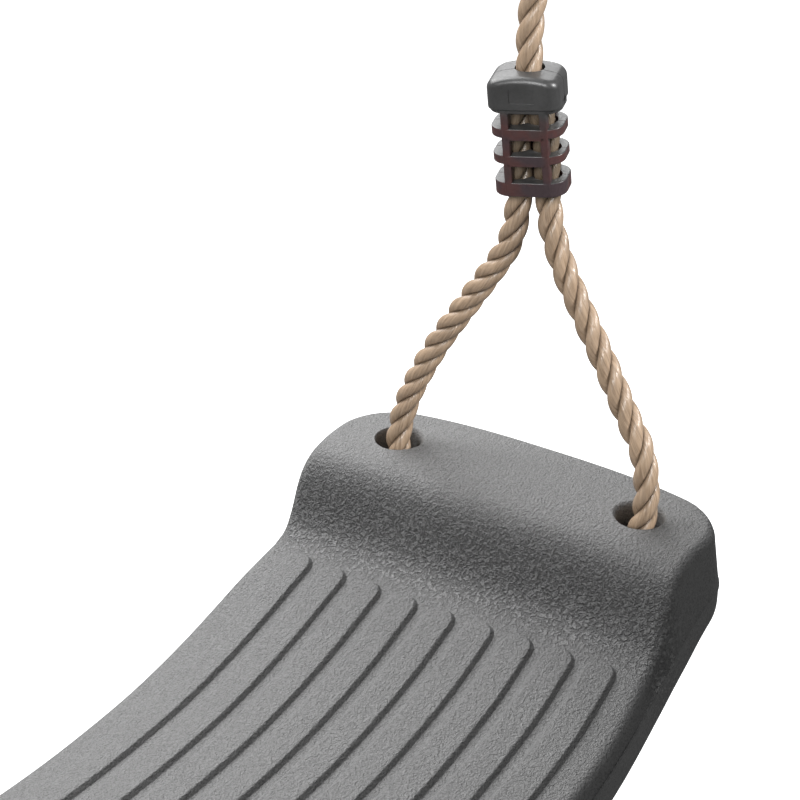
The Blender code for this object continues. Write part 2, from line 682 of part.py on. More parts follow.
def ferrule(side, name, route, parts, cutters, mat, pivot):
    """A sleeve pressed round the rope's two runs under the eye."""
    x = side * HOLE_X
    body = block(name, (x - FERRULE_WIDTH / 2, -FERRULE_DEPTH / 2, height(FERRULE_BOTTOM_H)),
                 (x + FERRULE_WIDTH / 2, FERRULE_DEPTH / 2, height(FERRULE_TOP_H)), parts,
                 corner=FERRULE_DEPTH / 2 - GAP, segments=5)
    for tag, sign in (("tail", -1), ("main", 1)):
        run = [p for p in route if height(205 * MM) < p.z < height(280 * MM) and (p.x - x) * side * sign > 0]
        bore = tube_mesh(f"{name}_{tag}_bore", stretched(run, 2 * MM), CHANNEL_RADIUS, cutters)
        boolean(body, as_cutter(bore))
    finish_part(body, mat, pivot)


def bow_route(side):
    """The hanger's U of round bar, from one leg's top round to the other."""
    low = height(BOW_H)
    top = -GAP
    turn = [math.radians(15 * k) for k in range(7)]
    left = [(-(BOW_HALF_WIDTH - BOW_CORNER) - BOW_CORNER * math.cos(a), low + BOW_CORNER * (1 - math.sin(a)))
            for a in turn]
    half = [(-BOW_HALF_WIDTH, top)] + left
    outline = half + [(-x, z) for x, z in reversed(half)]
    return [Vector((side * HOLE_X + x, 0, z)) for x, z in outline]


def hanger_plate(name, side, parts, cutters, mat, pivot):
    x = side * HOLE_X
    plate = block(name, (x - PLATE_LENGTH / 2, -PLATE_WIDTH / 2, -PLATE_THICK),
                  (x + PLATE_LENGTH / 2, PLATE_WIDTH / 2, 0), parts, corner=PLATE_CORNER, segments=3)
    holes = [(-SCREW_X, SCREW_RADIUS), (SCREW_X, SCREW_RADIUS), (-BOW_HALF_WIDTH, BOW_WIRE + GAP * 1.5),
             (BOW_HALF_WIDTH, BOW_WIRE + GAP * 1.5)]
    for number, (offset, radius) in enumerate(holes):
        hole = cylinder(f"{name}_hole_{number}", (x + offset, 0, -PLATE_THICK / 2), radius, 3 * PLATE_THICK,
                        cutters, segments=16)
        boolean(plate, as_cutter(hole))
    finish_part(plate, mat, pivot)


def ring(name, side, parts, mat, pivot):
    bpy.ops.mesh.primitive_torus_add(major_radius=RING_RADIUS, minor_radius=RING_WIRE, major_segments=32,
                                     minor_segments=10, rotation=(0, math.pi / 2, 0),
                                     location=(side * HOLE_X, 0, height(RING_CENTRE_H)))
    obj = bpy.context.object
    obj.name = name
    for collection in list(obj.users_collection):
        collection.objects.unlink(obj)
    parts.objects.link(obj)
    obj.data.transform(obj.matrix_world)
    obj.matrix_world = Matrix.Identity(4)
    finish_part(obj, mat, pivot)


def make_side(tag, side, parts, cutters, mats, seat_frame):
    """Everything that hangs one end of the seat: hanger, ring, rope, adjuster and ends."""
    x = side * HOLE_X
    swing = pivot_at(f"{tag}_swing_axis", (x, 0, height(BOW_H)), seat_frame)
    sway = pivot_at(f"{tag}_sway_axis", (x, 0, height(RING_BOTTOM_H)), seat_frame)
    fixed = pivot_at(f"{tag}_hanger", (x, 0, 0), seat_frame)

    route = smooth_route(placed_route(side, rope_route()), 11 * MM)
    finish_part(tube(f"{tag}_rope", route, ROPE_RADIUS, parts), mats["rope"], sway)

    frame = adjuster_frame(side)
    under = min(range(len(route)), key=lambda i: (round(route[i].z, 5), abs(route[i].y)))
    main = between(route[:under], 105 * MM, 185 * MM)
    rear = between(route[under:], 105 * MM, 160 * MM)
    channels = [as_cutter(tube_mesh(f"{tag}_main_channel", main, CHANNEL_RADIUS, cutters)),
                as_cutter(tube_mesh(f"{tag}_rear_channel", stretched(rear, 4 * MM), CHANNEL_RADIUS, cutters))]
    for half, sign in (("inner", -side), ("outer", side)):
        adjuster_half(f"{tag}_adjuster_{half}", side, sign, frame, parts, cutters, channels, mats["adjuster"],
                      sway)

    rope_cap(f"{tag}_rope_tail_cap", route[0], (route[1] - route[0]).normalized(), parts, cutters,
             mats["fitting"], sway)
    ferrule(side, f"{tag}_ferrule", route, parts, cutters, mats["fitting"], sway)
    thimble(f"{tag}_thimble", side, parts, mats["fitting"], sway)
    ring(f"{tag}_ring", side, parts, mats["steel"], swing)
    bow = tube_mesh(f"{tag}_hanger_bow", bow_route(side), BOW_WIRE, parts, resolution=2)
    finish_part(bow, mats["steel"], fixed)
    hanger_plate(f"{tag}_hanger_plate", side, parts, cutters, mats["steel"], fixed)


def main():
    clear_scene()
    parts = new_collection("Moulded_Swing")
    cutters = new_collection("Cutters")
    frames = new_collection("Joint_Axes")
    mats = {
        "seat": material("seat_plastic", (0.26, 0.26, 0.26), 0.6),
        "rope": material("rope_fibre", (0.38, 0.26, 0.17), 0.75),
        "adjuster": material("adjuster_plastic", (0.07, 0.065, 0.065), 0.35),
        "fitting": material("fitting_plastic", (0.05, 0.05, 0.05), 0.4),
        "steel": material("zinc_plated_steel", (0.6, 0.6, 0.6), 0.3, 1.0),
    }
    seat_pivot = pivot_at("seat_level_axis", (HOLE_X, 0, height(UNDER_H)), frames)
    make_seat(parts, cutters, mats["seat"], seat_pivot)
    make_plug(parts, cutters, mats["seat"], seat_pivot)
    for tag, side in (("right", 1), ("left", -1)):
        make_side(tag, side, parts, cutters, mats, frames)


main()
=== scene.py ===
"""Looks of a moulded swing seat on two rope bridles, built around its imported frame.

Everything is in metres in the frame of the model: +Z up, +X along the seat, origin midway between the
hanger plates' top faces. A height h is measured from the rims of the rope holes.
"""
import math

import bmesh
import bpy
from mathutils import Matrix, Vector

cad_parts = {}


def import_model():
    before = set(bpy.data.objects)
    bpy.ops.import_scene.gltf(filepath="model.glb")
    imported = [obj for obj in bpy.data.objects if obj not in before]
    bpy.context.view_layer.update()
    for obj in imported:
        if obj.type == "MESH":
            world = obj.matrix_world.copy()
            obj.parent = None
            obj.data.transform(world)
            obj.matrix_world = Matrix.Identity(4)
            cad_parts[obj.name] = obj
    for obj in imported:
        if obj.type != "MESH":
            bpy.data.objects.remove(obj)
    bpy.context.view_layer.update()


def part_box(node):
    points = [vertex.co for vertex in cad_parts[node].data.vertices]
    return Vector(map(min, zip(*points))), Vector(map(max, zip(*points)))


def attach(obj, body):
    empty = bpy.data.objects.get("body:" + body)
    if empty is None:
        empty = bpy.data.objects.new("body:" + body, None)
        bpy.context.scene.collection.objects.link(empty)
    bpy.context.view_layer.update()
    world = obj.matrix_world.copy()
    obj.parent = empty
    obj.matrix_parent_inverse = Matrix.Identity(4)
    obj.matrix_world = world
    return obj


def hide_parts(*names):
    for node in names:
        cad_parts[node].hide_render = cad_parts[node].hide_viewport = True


MM = 0.001
SIDES = (("right", 1), ("left", -1))

# Driving sizes, as in the design
HANG = 370 * MM
SEAT_LENGTH = 432 * MM
SEAT_WIDTH = 179 * MM
CORNER_RADIUS = 25 * MM
TOP_EDGE_RADIUS = 5 * MM
DISH_DRAFT = 1.2 * MM
RISE_DRAFT = 3 * MM
DRAFT_GROWS = (115 * MM, 160 * MM)
BOTTOM_EDGE_RADIUS = 7 * MM
END_BOW = 3 * MM
BOW_Y = 60 * MM
BOW_POWER = 2.6
BOW_GROWS = (160 * MM, 215 * MM)
END_TAPER = 3.3 * MM
TAPER_GROWS = (100 * MM, 165 * MM)
TOP_LINE = [(0, -61.2), (45, -59.2), (75, -55), (105, -47.9), (128, -39.8), (138, -36.1), (143, -34.3),
            (146.5, -32.2), (149.5, -29.4), (152, -25), (154.5, -19), (156.5, -13.5), (159.5, -8), (164, -4),
            (170, -1.8), (178, -0.5), (186, -0.1), (215, 0)]
BOTTOM_LINE = [(0, -90), (40, -88.6), (75, -84.2), (116, -73.5), (147, -62.4), (166, -53), (182, -45),
               (200, -39), (215, -37)]
PARTING_LINE = [(0, -71.7), (75, -65.5), (120, -53), (138, -46.5), (150, -41), (161, -35), (173, -30),
                (185, -26.5), (215, -25)]
PLATFORM_CROWN = 2.5 * MM
CROWN_HALF_WIDTH = 84 * MM
PARTING_RIDGE = 0.35 * MM
FLAT_STEPS = 44

RIB_COUNT = 9
RIB_PITCH = 17.2 * MM
RIB_HEIGHT = 1.8 * MM
RIB_FOOT_HALF = 7 * MM
RIB_TOP_HALF = 5.6 * MM
RIB_TIP = 139 * MM
RIB_TIP_STEP = 2.9 * MM
RIB_TIP_RADIUS = 6 * MM

HOLE_X = 185 * MM
HOLE_Y = 54.15 * MM
HOLE_RADIUS = 9 * MM
HOLE_RIM_ROUND = 3 * MM
ROPE_RADIUS = 5 * MM
BEND_RADIUS = 20 * MM
UNDER_H = -29 * MM
SADDLE_CLEAR = 0.6 * MM
CHANNEL_PAST_HOLE = MM
CHANNEL_NARROWER = 0.4 * MM
HOLE_CUT_H = -60 * MM                # lower ends of the cutters
CHANNEL_CUT_H = -80 * MM
BLOW_HOLE_RADIUS = 4 * MM
BLOW_HOLE_DEPTH = 8 * MM

ADJUSTER_TWIST = math.radians(18)
ADJUSTER_LEAN = math.radians(4.4)
ADJUSTER_PITCH = math.radians(3)
ADJUSTER_H = 137 * MM
ADJUSTER_X = -0.1 * MM
ADJUSTER_Y = -0.1 * MM
ADJUSTER_HALF_WIDTH = 13.3 * MM
ADJUSTER_HALF_DEPTH = 9.3 * MM
RING_CORNER = 6.5 * MM
HEAD_OVERHANG = 1 * MM
HEAD_CORNER = 4.5 * MM
HEAD_ROUND = 2.4 * MM
HEAD_BOTTOM = 15.2 * MM
HEAD_SHOULDER = 25.2 * MM
HEAD_CREST = 27.6 * MM
HEAD_LIP = 1.6 * MM
BACK_WALL = 7.7 * MM
BAR_DROP = 0.7 * MM                 # how far the ladder's bars reach down below their rings
RING_LEVELS = [(-18.5 * MM, -13.0 * MM), (-5.9 * MM, -2.5 * MM), (4.2 * MM, 7.8 * MM)]
RING_EDGE = 0.45 * MM
STILE_INNER = 5.6 * MM
STILE_OUTER = 8.5 * MM
STILE_BACK = 5.6 * MM
CHANNEL_RADIUS = 5.5 * MM
SLOT = (2.2 * MM, 3 * MM, 16 * MM)
SPLIT = 0.15 * MM

THIMBLE_H = 302 * MM
THIMBLE_HOLE_RADIUS = 11 * MM
THIMBLE_RIM_RADIUS = 18 * MM
THIMBLE_HALF_WIDTH = 6.8 * MM
EYE_RADIUS = 20 * MM
FERRULE_RUN = 6.5 * MM
FERRULE_BOTTOM_H = 225 * MM
FERRULE_TOP_H = 260 * MM
FERRULE_WIDTH = 27.5 * MM
FERRULE_DEPTH = 15 * MM
RING_WIRE = 4 * MM
RING_RADIUS = 22 * MM
BOW_WIRE = 5 * MM
BOW_HALF_WIDTH = 20 * MM
BOW_CORNER = 12 * MM
CONTACT_CLEAR = 0.4 * MM
GAP = 0.3 * MM
PLATE_LENGTH = 90 * MM
PLATE_WIDTH = 40 * MM
PLATE_THICK = 4 * MM
PLATE_CORNER = 6 * MM
PLATE_EDGE = 0.5 * MM
SCREW_X = 35 * MM
SCREW_RADIUS = 4.5 * MM
CAP_LENGTH = 13 * MM
CAP_WALL = 0.9 * MM
CAP_RADIUS = ROPE_RADIUS + GAP + CAP_WALL
CAP_ROUND = 1.6 * MM
CAP_AXIS_HOLE = 0.2 * MM
RING_BOTTOM_H = THIMBLE_H + THIMBLE_HOLE_RADIUS - RING_WIRE - CONTACT_CLEAR
RING_CENTRE_H = RING_BOTTOM_H + RING_RADIUS
BOW_H = RING_CENTRE_H + RING_RADIUS - RING_WIRE - CONTACT_CLEAR - BOW_WIRE

# Rope: three strands in a Z lay, swept along its route
LAY_LENGTH = 30.5 * MM
STRAND_OFFSET = 2.62 * MM
STRAND_RADIAL = 2.38 * MM
STRAND_ACROSS = 2.85 * MM
STRAND_POINTS = 17
ROPE_STEP = 0.9 * MM
ROUTE_DOWN = [(6.5, 0, 242), (6.5, 0, 225), (6.2, 0.3, 213), (4.8, 1.3, 203), (2.8, 2.4, 193),
              (1.2, 2.6, 183), (0.3, 2.4, 174), (0, 1.9, 166), (0.2, 0.4, 158), (1.0, -2.6, 149.5),
              (1.6, -5.0, 141), (1.9, -6.0, 130), (2.2, -6.9, 118.5)]
ROUTE_FRONT_LEG = [(2.0, -8.8, 106), (1.8, -12.2, 96.6), (1.5, -17.3, 86), (1.3, -23.6, 75.5), (0.9, -36, 55),
                   (0.5, -47.0, 36), (0.3, -51.8, 28.3), (0.1, -54.7, 19.5), (0, -56.0, 10.5), (0, -56.0, 2)]
ROUTE_REAR_LEG = [(0, 53.9, 2), (0, 51.6, 12.5), (-0.2, 47.8, 23.4), (-0.4, 37.1, 45), (-0.6, 22.8, 68),
                  (-0.8, 13.6, 82.5), (-0.9, 7.6, 93), (-1.0, 4.4, 104), (-1.05, 3.3, 118.5),
                  (-1.3, 4.2, 130), (-1.5, 5.0, 140), (-1.6, 5.3, 150)]

# Camera and light
CAMERA_PLACE = Vector((-0.5584, -0.4248, 0.0982))
CAMERA_FORWARD = Vector((0.7485, 0.4820, -0.4555))
CAMERA_ROLL = 0.019
CAMERA_LENS = 113.95
FLOOR_BELOW_SEAT = 0.35
ROPE_LIGHT_H = 80 * MM


# ------------------------ small helpers

def height(h):
    """Height above the rope holes' rims to a height in the model's frame."""
    return h - HANG


def object_from_bmesh(name, bm):
    mesh = bpy.data.meshes.new(name)
    bm.to_mesh(mesh)
    bm.free()
    obj = bpy.data.objects.new(name, mesh)
    bpy.context.scene.collection.objects.link(obj)
    return obj


def applied(obj):
    """The object with its modifiers applied to its mesh."""
    bpy.context.view_layer.update()
    mesh = bpy.data.meshes.new_from_object(obj.evaluated_get(bpy.context.evaluated_depsgraph_get()))
    obj.modifiers.clear()
    old = obj.data
    obj.data = mesh
    bpy.data.meshes.remove(old)
    return obj


def combined(obj, *cutters, operation='DIFFERENCE'):
    """Cuts the cutters from an object, or joins them to it, one after another, and removes them."""
    for cutter in cutters:
        modifier = obj.modifiers.new(cutter.name, 'BOOLEAN')
        modifier.operation = operation
        modifier.solver = 'EXACT'
        modifier.object = cutter
        applied(obj)
        bpy.data.objects.remove(cutter, do_unlink=True)
    return obj


def smooth(obj, angle=32):
    """Smooth shading with normals led by the larger faces, and sharp edges past an angle."""
    obj.data.shade_smooth()
    obj.data.set_sharp_from_angle(angle=math.radians(angle))
    modifier = obj.modifiers.new("Normals", 'WEIGHTED_NORMAL')
    modifier.keep_sharp = True
    return applied(obj)


def finish_piece(obj, mat, body, slot, *nodes):
    """Gives a piece its material and its body, and hides the nodes that it stands for; the slot is not used.
    """
    obj.data.materials.clear()
    obj.data.materials.append(mat)
    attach(obj, body)
    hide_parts(*nodes)
    return obj


def grown(value, span):
    """A smooth share from 0 at a span's start to 1 at its end."""
    t = min(max((value - span[0]) / (span[1] - span[0]), 0.0), 1.0)
    return t * t * (3 - 2 * t)


def spread(low, high, step):
    """Places from low to high, evenly spaced and no further apart than a step."""
    count = max(1, math.ceil((high - low) / step))
    return [low + (high - low) * k / count for k in range(count + 1)]


def cubic(t, span, start, leaving, end, arriving):
    """The Hermite curve between two values with given slopes, at a share t of the span."""
    return ((2 * t**3 - 3 * t**2 + 1) * start + (t**3 - 2 * t**2 + t) * span * leaving
            + (3 * t**2 - 2 * t**3) * end + (t**3 - t**2) * span * arriving)


def hermite(line, x):
    """Height at x on a smooth line through points given as (x, height)."""
    last = len(line) - 1
    i = 0
    while i < last - 1 and x > line[i + 1][0]:
        i += 1

    def slope(k):
        if k == 0:
            return 0.0
        high = min(k + 1, last)
        return (line[high][1] - line[k - 1][1]) / (line[high][0] - line[k - 1][0])

    (x0, y0), (x1, y1) = line[i], line[i + 1]
    span = x1 - x0
    t = (x - x0) / span
    return cubic(t, span, y0, slope(i), y1, slope(i + 1))


def smooth_route(points, spacing):
    """Points about one spacing apart on a smooth curve through a route's own points."""
    places = [Vector(p) for p in points]
    knots = [0.0]
    for a, b in zip(places, places[1:]):
        knots.append(knots[-1] + (b - a).length)

    def tangent(k):
        low = max(k - 1, 0)
        high = min(k + 1, len(places) - 1)
        return (places[high] - places[low]) / (knots[high] - knots[low])

    count = round(knots[-1] / spacing)
    route = []
    i = 0
    for step in range(count + 1):
        s = knots[-1] * step / count
        while i < len(places) - 2 and s > knots[i + 1]:
            i += 1
        span = knots[i + 1] - knots[i]
        t = (s - knots[i]) / span
        route.append(cubic(t, span, places[i], tangent(i), places[i + 1], tangent(i + 1)))
    return route


def route_frames(route):
    """Tangent and the two cross directions at each point, carried along without twisting."""
    frames = []
    normal = None
    for i, place in enumerate(route):
        ahead = route[min(i + 1, len(route) - 1)]
        behind = route[max(i - 1, 0)]
        along = (ahead - behind).normalized()
        if normal is None:
            normal = along.orthogonal()
        normal = (normal - along * normal.dot(along)).normalized()
        frames.append((along, normal, along.cross(normal)))
    return frames


def tube(name, route, radius, sides=32):
    """A round capped tube along a route."""
    bm = bmesh.new()
    rings = []
    for place, (_, across, over) in zip(route, route_frames(route)):
        turn = [2 * math.pi * k / sides for k in range(sides)]
        rings.append([bm.verts.new(place + radius * (across * math.cos(a) + over * math.sin(a)))
                      for a in turn])
    join_rings(bm, rings)
    return object_from_bmesh(name, bm)


def strip(bm, ring, following):
    """A closed band of quads between two rings."""
    for i in range(len(ring)):
        j = (i + 1) % len(ring)
        bm.faces.new((ring[i], ring[j], following[j], following[i]))


def join_rings(bm, rings):
    """Quads between following rings, with a flat cap at each end."""
    for ring, following in zip(rings, rings[1:]):
        strip(bm, ring, following)
    bmesh.ops.triangulate(bm, faces=[bm.faces.new(reversed(rings[0])), bm.faces.new(rings[-1])])
    bmesh.ops.recalc_face_normals(bm, faces=bm.faces)


def rounded_outline(half_x, half_y, radius, corner_steps, straight_step):
    """A rounded rectangle's points: the upper half from +X to -X, then the lower half mirrored back."""
    arc = [math.radians(90 * k / corner_steps) for k in range(corner_steps + 1)]
    right = [(half_x - radius + radius * math.cos(a), half_y - radius + radius * math.sin(a)) for a in arc]
    straight = [(x, half_y) for x in reversed(spread(radius - half_x, half_x - radius, straight_step)[1:-1])]
    upper = right + straight + [(-x, y) for x, y in reversed(right)]
    return upper + [(x, -y) for x, y in reversed(upper)]


def slab(name, half_x, half_y, radius, levels, corner_steps=8, straight_step=1.0, shape=None):
    """A closed body of stacked outlines: each level is how far it is drawn in and how high it lies."""
    bm = bmesh.new()
    rings = []
    base = rounded_outline(half_x, half_y, radius, corner_steps, straight_step)
    for inset, z in levels:
        ring = []
        for x, y in base:
            cx = min(max(x, radius - half_x), half_x - radius)
            cy = min(max(y, radius - half_y), half_y - radius)
            share = max(radius - inset, 0.0) / radius
            over = max(inset - radius, 0.0)
            px = cx * (1 - over / max(half_x - radius, over + MM / 100)) + (x - cx) * share
            py = cy * (1 - over / max(half_y - radius, over + MM / 100)) + (y - cy) * share
            place = Vector((px, py, z))
            ring.append(bm.verts.new(shape(place) if shape else place))
        rings.append(ring)
    for ring, following in zip(rings, rings[1:]):
        strip(bm, ring, following)
    last = len(base) - 1
    for ring in (rings[0], rings[-1]):
        for i in range(len(ring) // 2 - 1):
            bm.faces.new((ring[i], ring[i + 1], ring[last - i - 1], ring[last - i]))
    bmesh.ops.recalc_face_normals(bm, faces=bm.faces)
    return object_from_bmesh(name, bm)


def edge_levels(low, high, edge, steps=4):
    """Levels of a slab whose two edges are rounded."""
    turn = [math.radians(90 * k / steps) for k in range(steps + 1)]
    lower = [(edge * (1 - math.sin(a)), low + edge * (1 - math.cos(a))) for a in turn]
    upper = [(edge * (1 - math.cos(a)), high - edge * (1 - math.sin(a))) for a in turn]
    return lower + upper


def upright(name, centre, radius, length, sides=48):
    """An upright cylinder about its centre, for cutting."""
    bm = bmesh.new()
    bmesh.ops.create_cone(bm, cap_ends=True, segments=sides, radius1=radius, radius2=radius, depth=length,
                          matrix=Matrix.Translation(centre))
    return object_from_bmesh(name, bm)


def turned(name, profile, steps=72):
    """A closed profile of (radius, place along the axis), turned about the Z axis."""
    bm = bmesh.new()
    rings = []
    for k in range(steps):
        a = 2 * math.pi * k / steps
        rings.append([bm.verts.new((r * math.cos(a), r * math.sin(a), z)) for r, z in profile])
    for k, ring in enumerate(rings):
        following = rings[(k + 1) % steps]
        strip(bm, ring, following)
    bmesh.ops.recalc_face_normals(bm, faces=bm.faces)
    return object_from_bmesh(name, bm)


# ------------------------ materials

COARSE_STARTS = (0.133, 0.146)      # places along the seat between which the coarse grain sets in
COARSE_ENDS = (0.152, 0.166)
RED_ENDS = (height(ADJUSTER_H + 9 * MM), height(ADJUSTER_H + 14 * MM))
# Painted shade: the heights over which the rope is darkened inside the adjuster
ADJUSTER_SHADE_STARTS = (height(ADJUSTER_H - 24 * MM), height(ADJUSTER_H - 19 * MM))   # dark rope in the adjuster
ADJUSTER_SHADE_ENDS = (height(ADJUSTER_H + 16 * MM), height(ADJUSTER_H + 26 * MM))


class Shader:
    """A Principled material whose nodes are added one by one."""

    def __init__(self, name, roughness, metallic=0.0, specular=0.5):
        self.mat = bpy.data.materials.new(name)
        self.mat.use_nodes = True
        self.tree = self.mat.node_tree
        self.base = self.tree.nodes["Principled BSDF"]
        self.base.inputs["Roughness"].default_value = roughness
        self.base.inputs["Metallic"].default_value = metallic
        self.base.inputs["Specular IOR Level"].default_value = specular

    def link(self, source, target):
        self.tree.links.new(source, target)

    def feed(self, value, socket):
        """Links a value from another node, or sets a plain one."""
        if isinstance(value, bpy.types.NodeSocket):
            self.link(value, socket)
        else:
            socket.default_value = value

    def node(self, kind, **inputs):
        added = self.tree.nodes.new(kind)
        for key, value in inputs.items():
            self.feed(value, added.inputs[key.replace("_", " ")])
        return added

    def place(self):
        return self.tree.nodes.new('ShaderNodeTexCoord').outputs["Object"]

    def stretched(self, vector, scale):
        mapping = self.node('ShaderNodeMapping', Vector=vector, Scale=scale)
        return mapping.outputs["Vector"]

    def noise(self, vector, scale, detail=3.0, roughness=0.5, distortion=0.0):
        added = self.node('ShaderNodeTexNoise', Vector=vector, Scale=scale, Detail=detail,
                          Roughness=roughness, Distortion=distortion)
        return added.outputs["Fac"]

    def ramp(self, value, *stops):
        """A colour ramp with stops of (place, colour), where a colour may be one grey number."""
        added = self.node('ShaderNodeValToRGB', Fac=value)
        elements = added.color_ramp.elements
        while len(elements) < len(stops):
            elements.new(0.5)
        for element, (where, colour) in zip(elements, stops):
            element.position = where
            element.color = (*colour, 1.0) if isinstance(colour, tuple) else (colour, colour, colour, 1.0)
        return added.outputs["Color"]

    def mixed(self, share, first, second, blend='MIX'):
        added = self.tree.nodes.new('ShaderNodeMix')
        added.data_type = 'RGBA'
        added.blend_type = blend
        for key, value in (("Factor_Float", share), ("A_Color", first), ("B_Color", second)):
            value = (*value, 1.0) if isinstance(value, tuple) else value
            self.feed(value, next(s for s in added.inputs if s.identifier == key))
        return next(s for s in added.outputs if s.identifier == "Result_Color")

    def math(self, operation, first, second=0.0, third=0.0):
        added = self.tree.nodes.new('ShaderNodeMath')
        added.operation = operation
        for socket, value in zip(added.inputs, (first, second, third)):
            self.feed(value, socket)
        return added.outputs["Value"]

    def scaled(self, value, low, high, new_low, new_high):
        """A value's span mapped smoothly onto another span."""
        added = self.tree.nodes.new('ShaderNodeMapRange')
        added.interpolation_type = 'SMOOTHSTEP'
        for key, item in (("Value", value), ("From Min", low), ("From Max", high), ("To Min", new_low),
                          ("To Max", new_high)):
            self.feed(item, added.inputs[key])
        return added.outputs["Result"]

    def bump(self, tall, distance, strength=1.0, under=None):
        added = self.node('ShaderNodeBump', Height=tall, Distance=distance, Strength=strength)
        if under is not None:
            self.link(under, added.inputs["Normal"])
        return added.outputs["Normal"]

    def use(self, **sockets):
        for key, value in sockets.items():
            self.link(value, self.base.inputs[key.replace("_", " ")])
        return self.mat


def seat_plastic():
    """Grey blow-moulded plastic with a fine pebbled grain, coarser at the foot of the two rises, where the
    grain carries painted glints and painted shade.
    """
    s = Shader("seat_plastic", roughness=0.5, specular=0.5)
    place = s.place()
    split = s.node('ShaderNodeSeparateXYZ', Vector=place)
    along = s.math('ABSOLUTE', split.outputs["X"])
    into_rise = s.scaled(along, *COARSE_STARTS, 0.0, 1.0)
    past_rise = s.scaled(along, *COARSE_ENDS, 0.0, 1.0)
    rise = s.math('MULTIPLY', into_rise, s.math('SUBTRACT', 1.0, past_rise))

    coarse = s.noise(place, 760.0, detail=1.5, roughness=0.45, distortion=0.7)
    fine = s.noise(place, 1500.0, detail=2.0, roughness=0.55, distortion=0.4)
    worms = s.ramp(coarse, (0.4, 0.0), (0.6, 1.0))
    pebbles = s.ramp(fine, (0.36, 0.0), (0.64, 1.0))
    normal = s.bump(worms, s.math('MULTIPLY_ADD', rise, 0.00016, 0.00016))
    normal = s.bump(pebbles, 0.00012, under=normal)

    broad = s.noise(place, 9.0, detail=3.0, roughness=0.55)
    tint = s.ramp(broad, (0.3, (0.197, 0.197, 0.198)), (0.7, (0.224, 0.224, 0.224)))
    colour = s.mixed(1.0, tint, s.ramp(fine, (0.38, 0.68), (0.52, 1.04)), 'MULTIPLY')
    # Painted light on the rises: the coarse grain's hollows are painted darker as shade and its ridges up to
    # 1.5 times lighter as glints
    grain_glints_and_shade = s.mixed(rise, (1.0, 1.0, 1.0), s.ramp(coarse, (0.4, 0.78), (0.54, 0.98), (0.64, 1.5)))
    colour = s.mixed(1.0, colour, grain_glints_and_shade, 'MULTIPLY')
    rough = s.scaled(broad, 0.3, 0.7, 0.46, 0.56)
    return s.use(Base_Color=colour, Roughness=rough, Normal=normal)


def rope_fibre():
    """Beige film-fibre rope: fine fibres that run with the rope's line across each strand."""
    s = Shader("rope_fibre", roughness=0.38, specular=0.6)
    uv = s.tree.nodes.new('ShaderNodeUVMap')
    uv.uv_map = "fibre"
    hairs = s.noise(s.stretched(uv.outputs["UV"], (2600.0, 120.0, 1.0)), 1.0, detail=3.0, roughness=0.6)
    yarns = s.noise(s.stretched(uv.outputs["UV"], (900.0, 45.0, 1.0)), 1.0, detail=2.0, roughness=0.5)
    patches = s.noise(s.place(), 60.0, detail=2.0)
    depth = s.tree.nodes.new('ShaderNodeAttribute')
    depth.attribute_name = "rise"
    body = s.ramp(hairs, (0.28, (0.24, 0.162, 0.1)), (0.5, (0.4, 0.287, 0.195)),
                  (0.75, (0.53, 0.4, 0.295)))
    body = s.mixed(1.0, body, s.ramp(yarns, (0.3, 0.78), (0.7, 1.1)), 'MULTIPLY')
    body = s.mixed(1.0, body, s.ramp(patches, (0.3, 0.9), (0.7, 1.06)), 'MULTIPLY')
    # Painted shade: the colour darkens down to 0.42 in the grooves between the strands
    body = s.mixed(1.0, body, s.ramp(depth.outputs["Fac"], (0.0, 0.42), (0.55, 1.0)), 'MULTIPLY')
    # Painted shade: the rope's colour is pulled towards dark brown where it runs through the adjuster
    split = s.node('ShaderNodeSeparateXYZ', Vector=s.place())
    over = s.scaled(split.outputs["Z"], *ADJUSTER_SHADE_STARTS, 0.0, 1.0)
    under = s.scaled(split.outputs["Z"], *ADJUSTER_SHADE_ENDS, 1.0, 0.0)
    painted_shade = s.math('MULTIPLY', s.math('MULTIPLY', over, under), 0.7)
    body = s.mixed(painted_shade, body, (0.1, 0.08, 0.055))
    normal = s.bump(yarns, 0.00035)
    normal = s.bump(hairs, 0.00012, under=normal)
    rough = s.scaled(hairs, 0.3, 0.7, 0.42, 0.22)
    return s.use(Base_Color=body, Roughness=rough, Normal=normal)


def adjuster_plastic():
    """Charcoal plastic, with a reddish-brown tint on the upright faces of the ladder below the head; the
    ladder's up- and down-facing faces keep the grey, a painted sheen.
    """
    s = Shader("adjuster_plastic", roughness=0.34, specular=0.55)
    place = s.place()
    split = s.node('ShaderNodeSeparateXYZ', Vector=place)
    below_head = s.scaled(split.outputs["Z"], *RED_ENDS, 1.0, 0.0)
    blotch = s.noise(place, 75.0, detail=2.0, roughness=0.5)
    fine = s.noise(place, 900.0, detail=3.0, roughness=0.6)
    warm = s.ramp(blotch, (0.36, (0.05, 0.036, 0.036)), (0.52, (0.078, 0.033, 0.031)),
                  (0.66, (0.05, 0.034, 0.038)))
    grey = s.ramp(blotch, (0.3, (0.043, 0.043, 0.043)), (0.7, (0.058, 0.058, 0.058)))
    # Painted sheen: on the ladder only the upright faces get the reddish-brown, so its tops stay grey as if
    # lit by reflected light
    front = s.math('MULTIPLY', below_head, upright_share(s))
    colour = s.mixed(front, grey, warm)
    colour = s.mixed(1.0, colour, s.ramp(fine, (0.3, 0.88), (0.7, 1.08)), 'MULTIPLY')
    normal = s.bump(fine, 0.00004)
    rough = s.scaled(fine, 0.3, 0.7, 0.3, 0.42)
    return s.use(Base_Color=colour, Roughness=rough, Normal=normal)


def upright_share(s):
    """1 where a surface stands upright, 0 where it faces up or down."""
    geometry = s.tree.nodes.new('ShaderNodeNewGeometry')
    split = s.node('ShaderNodeSeparateXYZ', Vector=geometry.outputs["Normal"])
    return s.scaled(s.math('ABSOLUTE', split.outputs["Z"]), 0.3, 0.7, 1.0, 0.0)


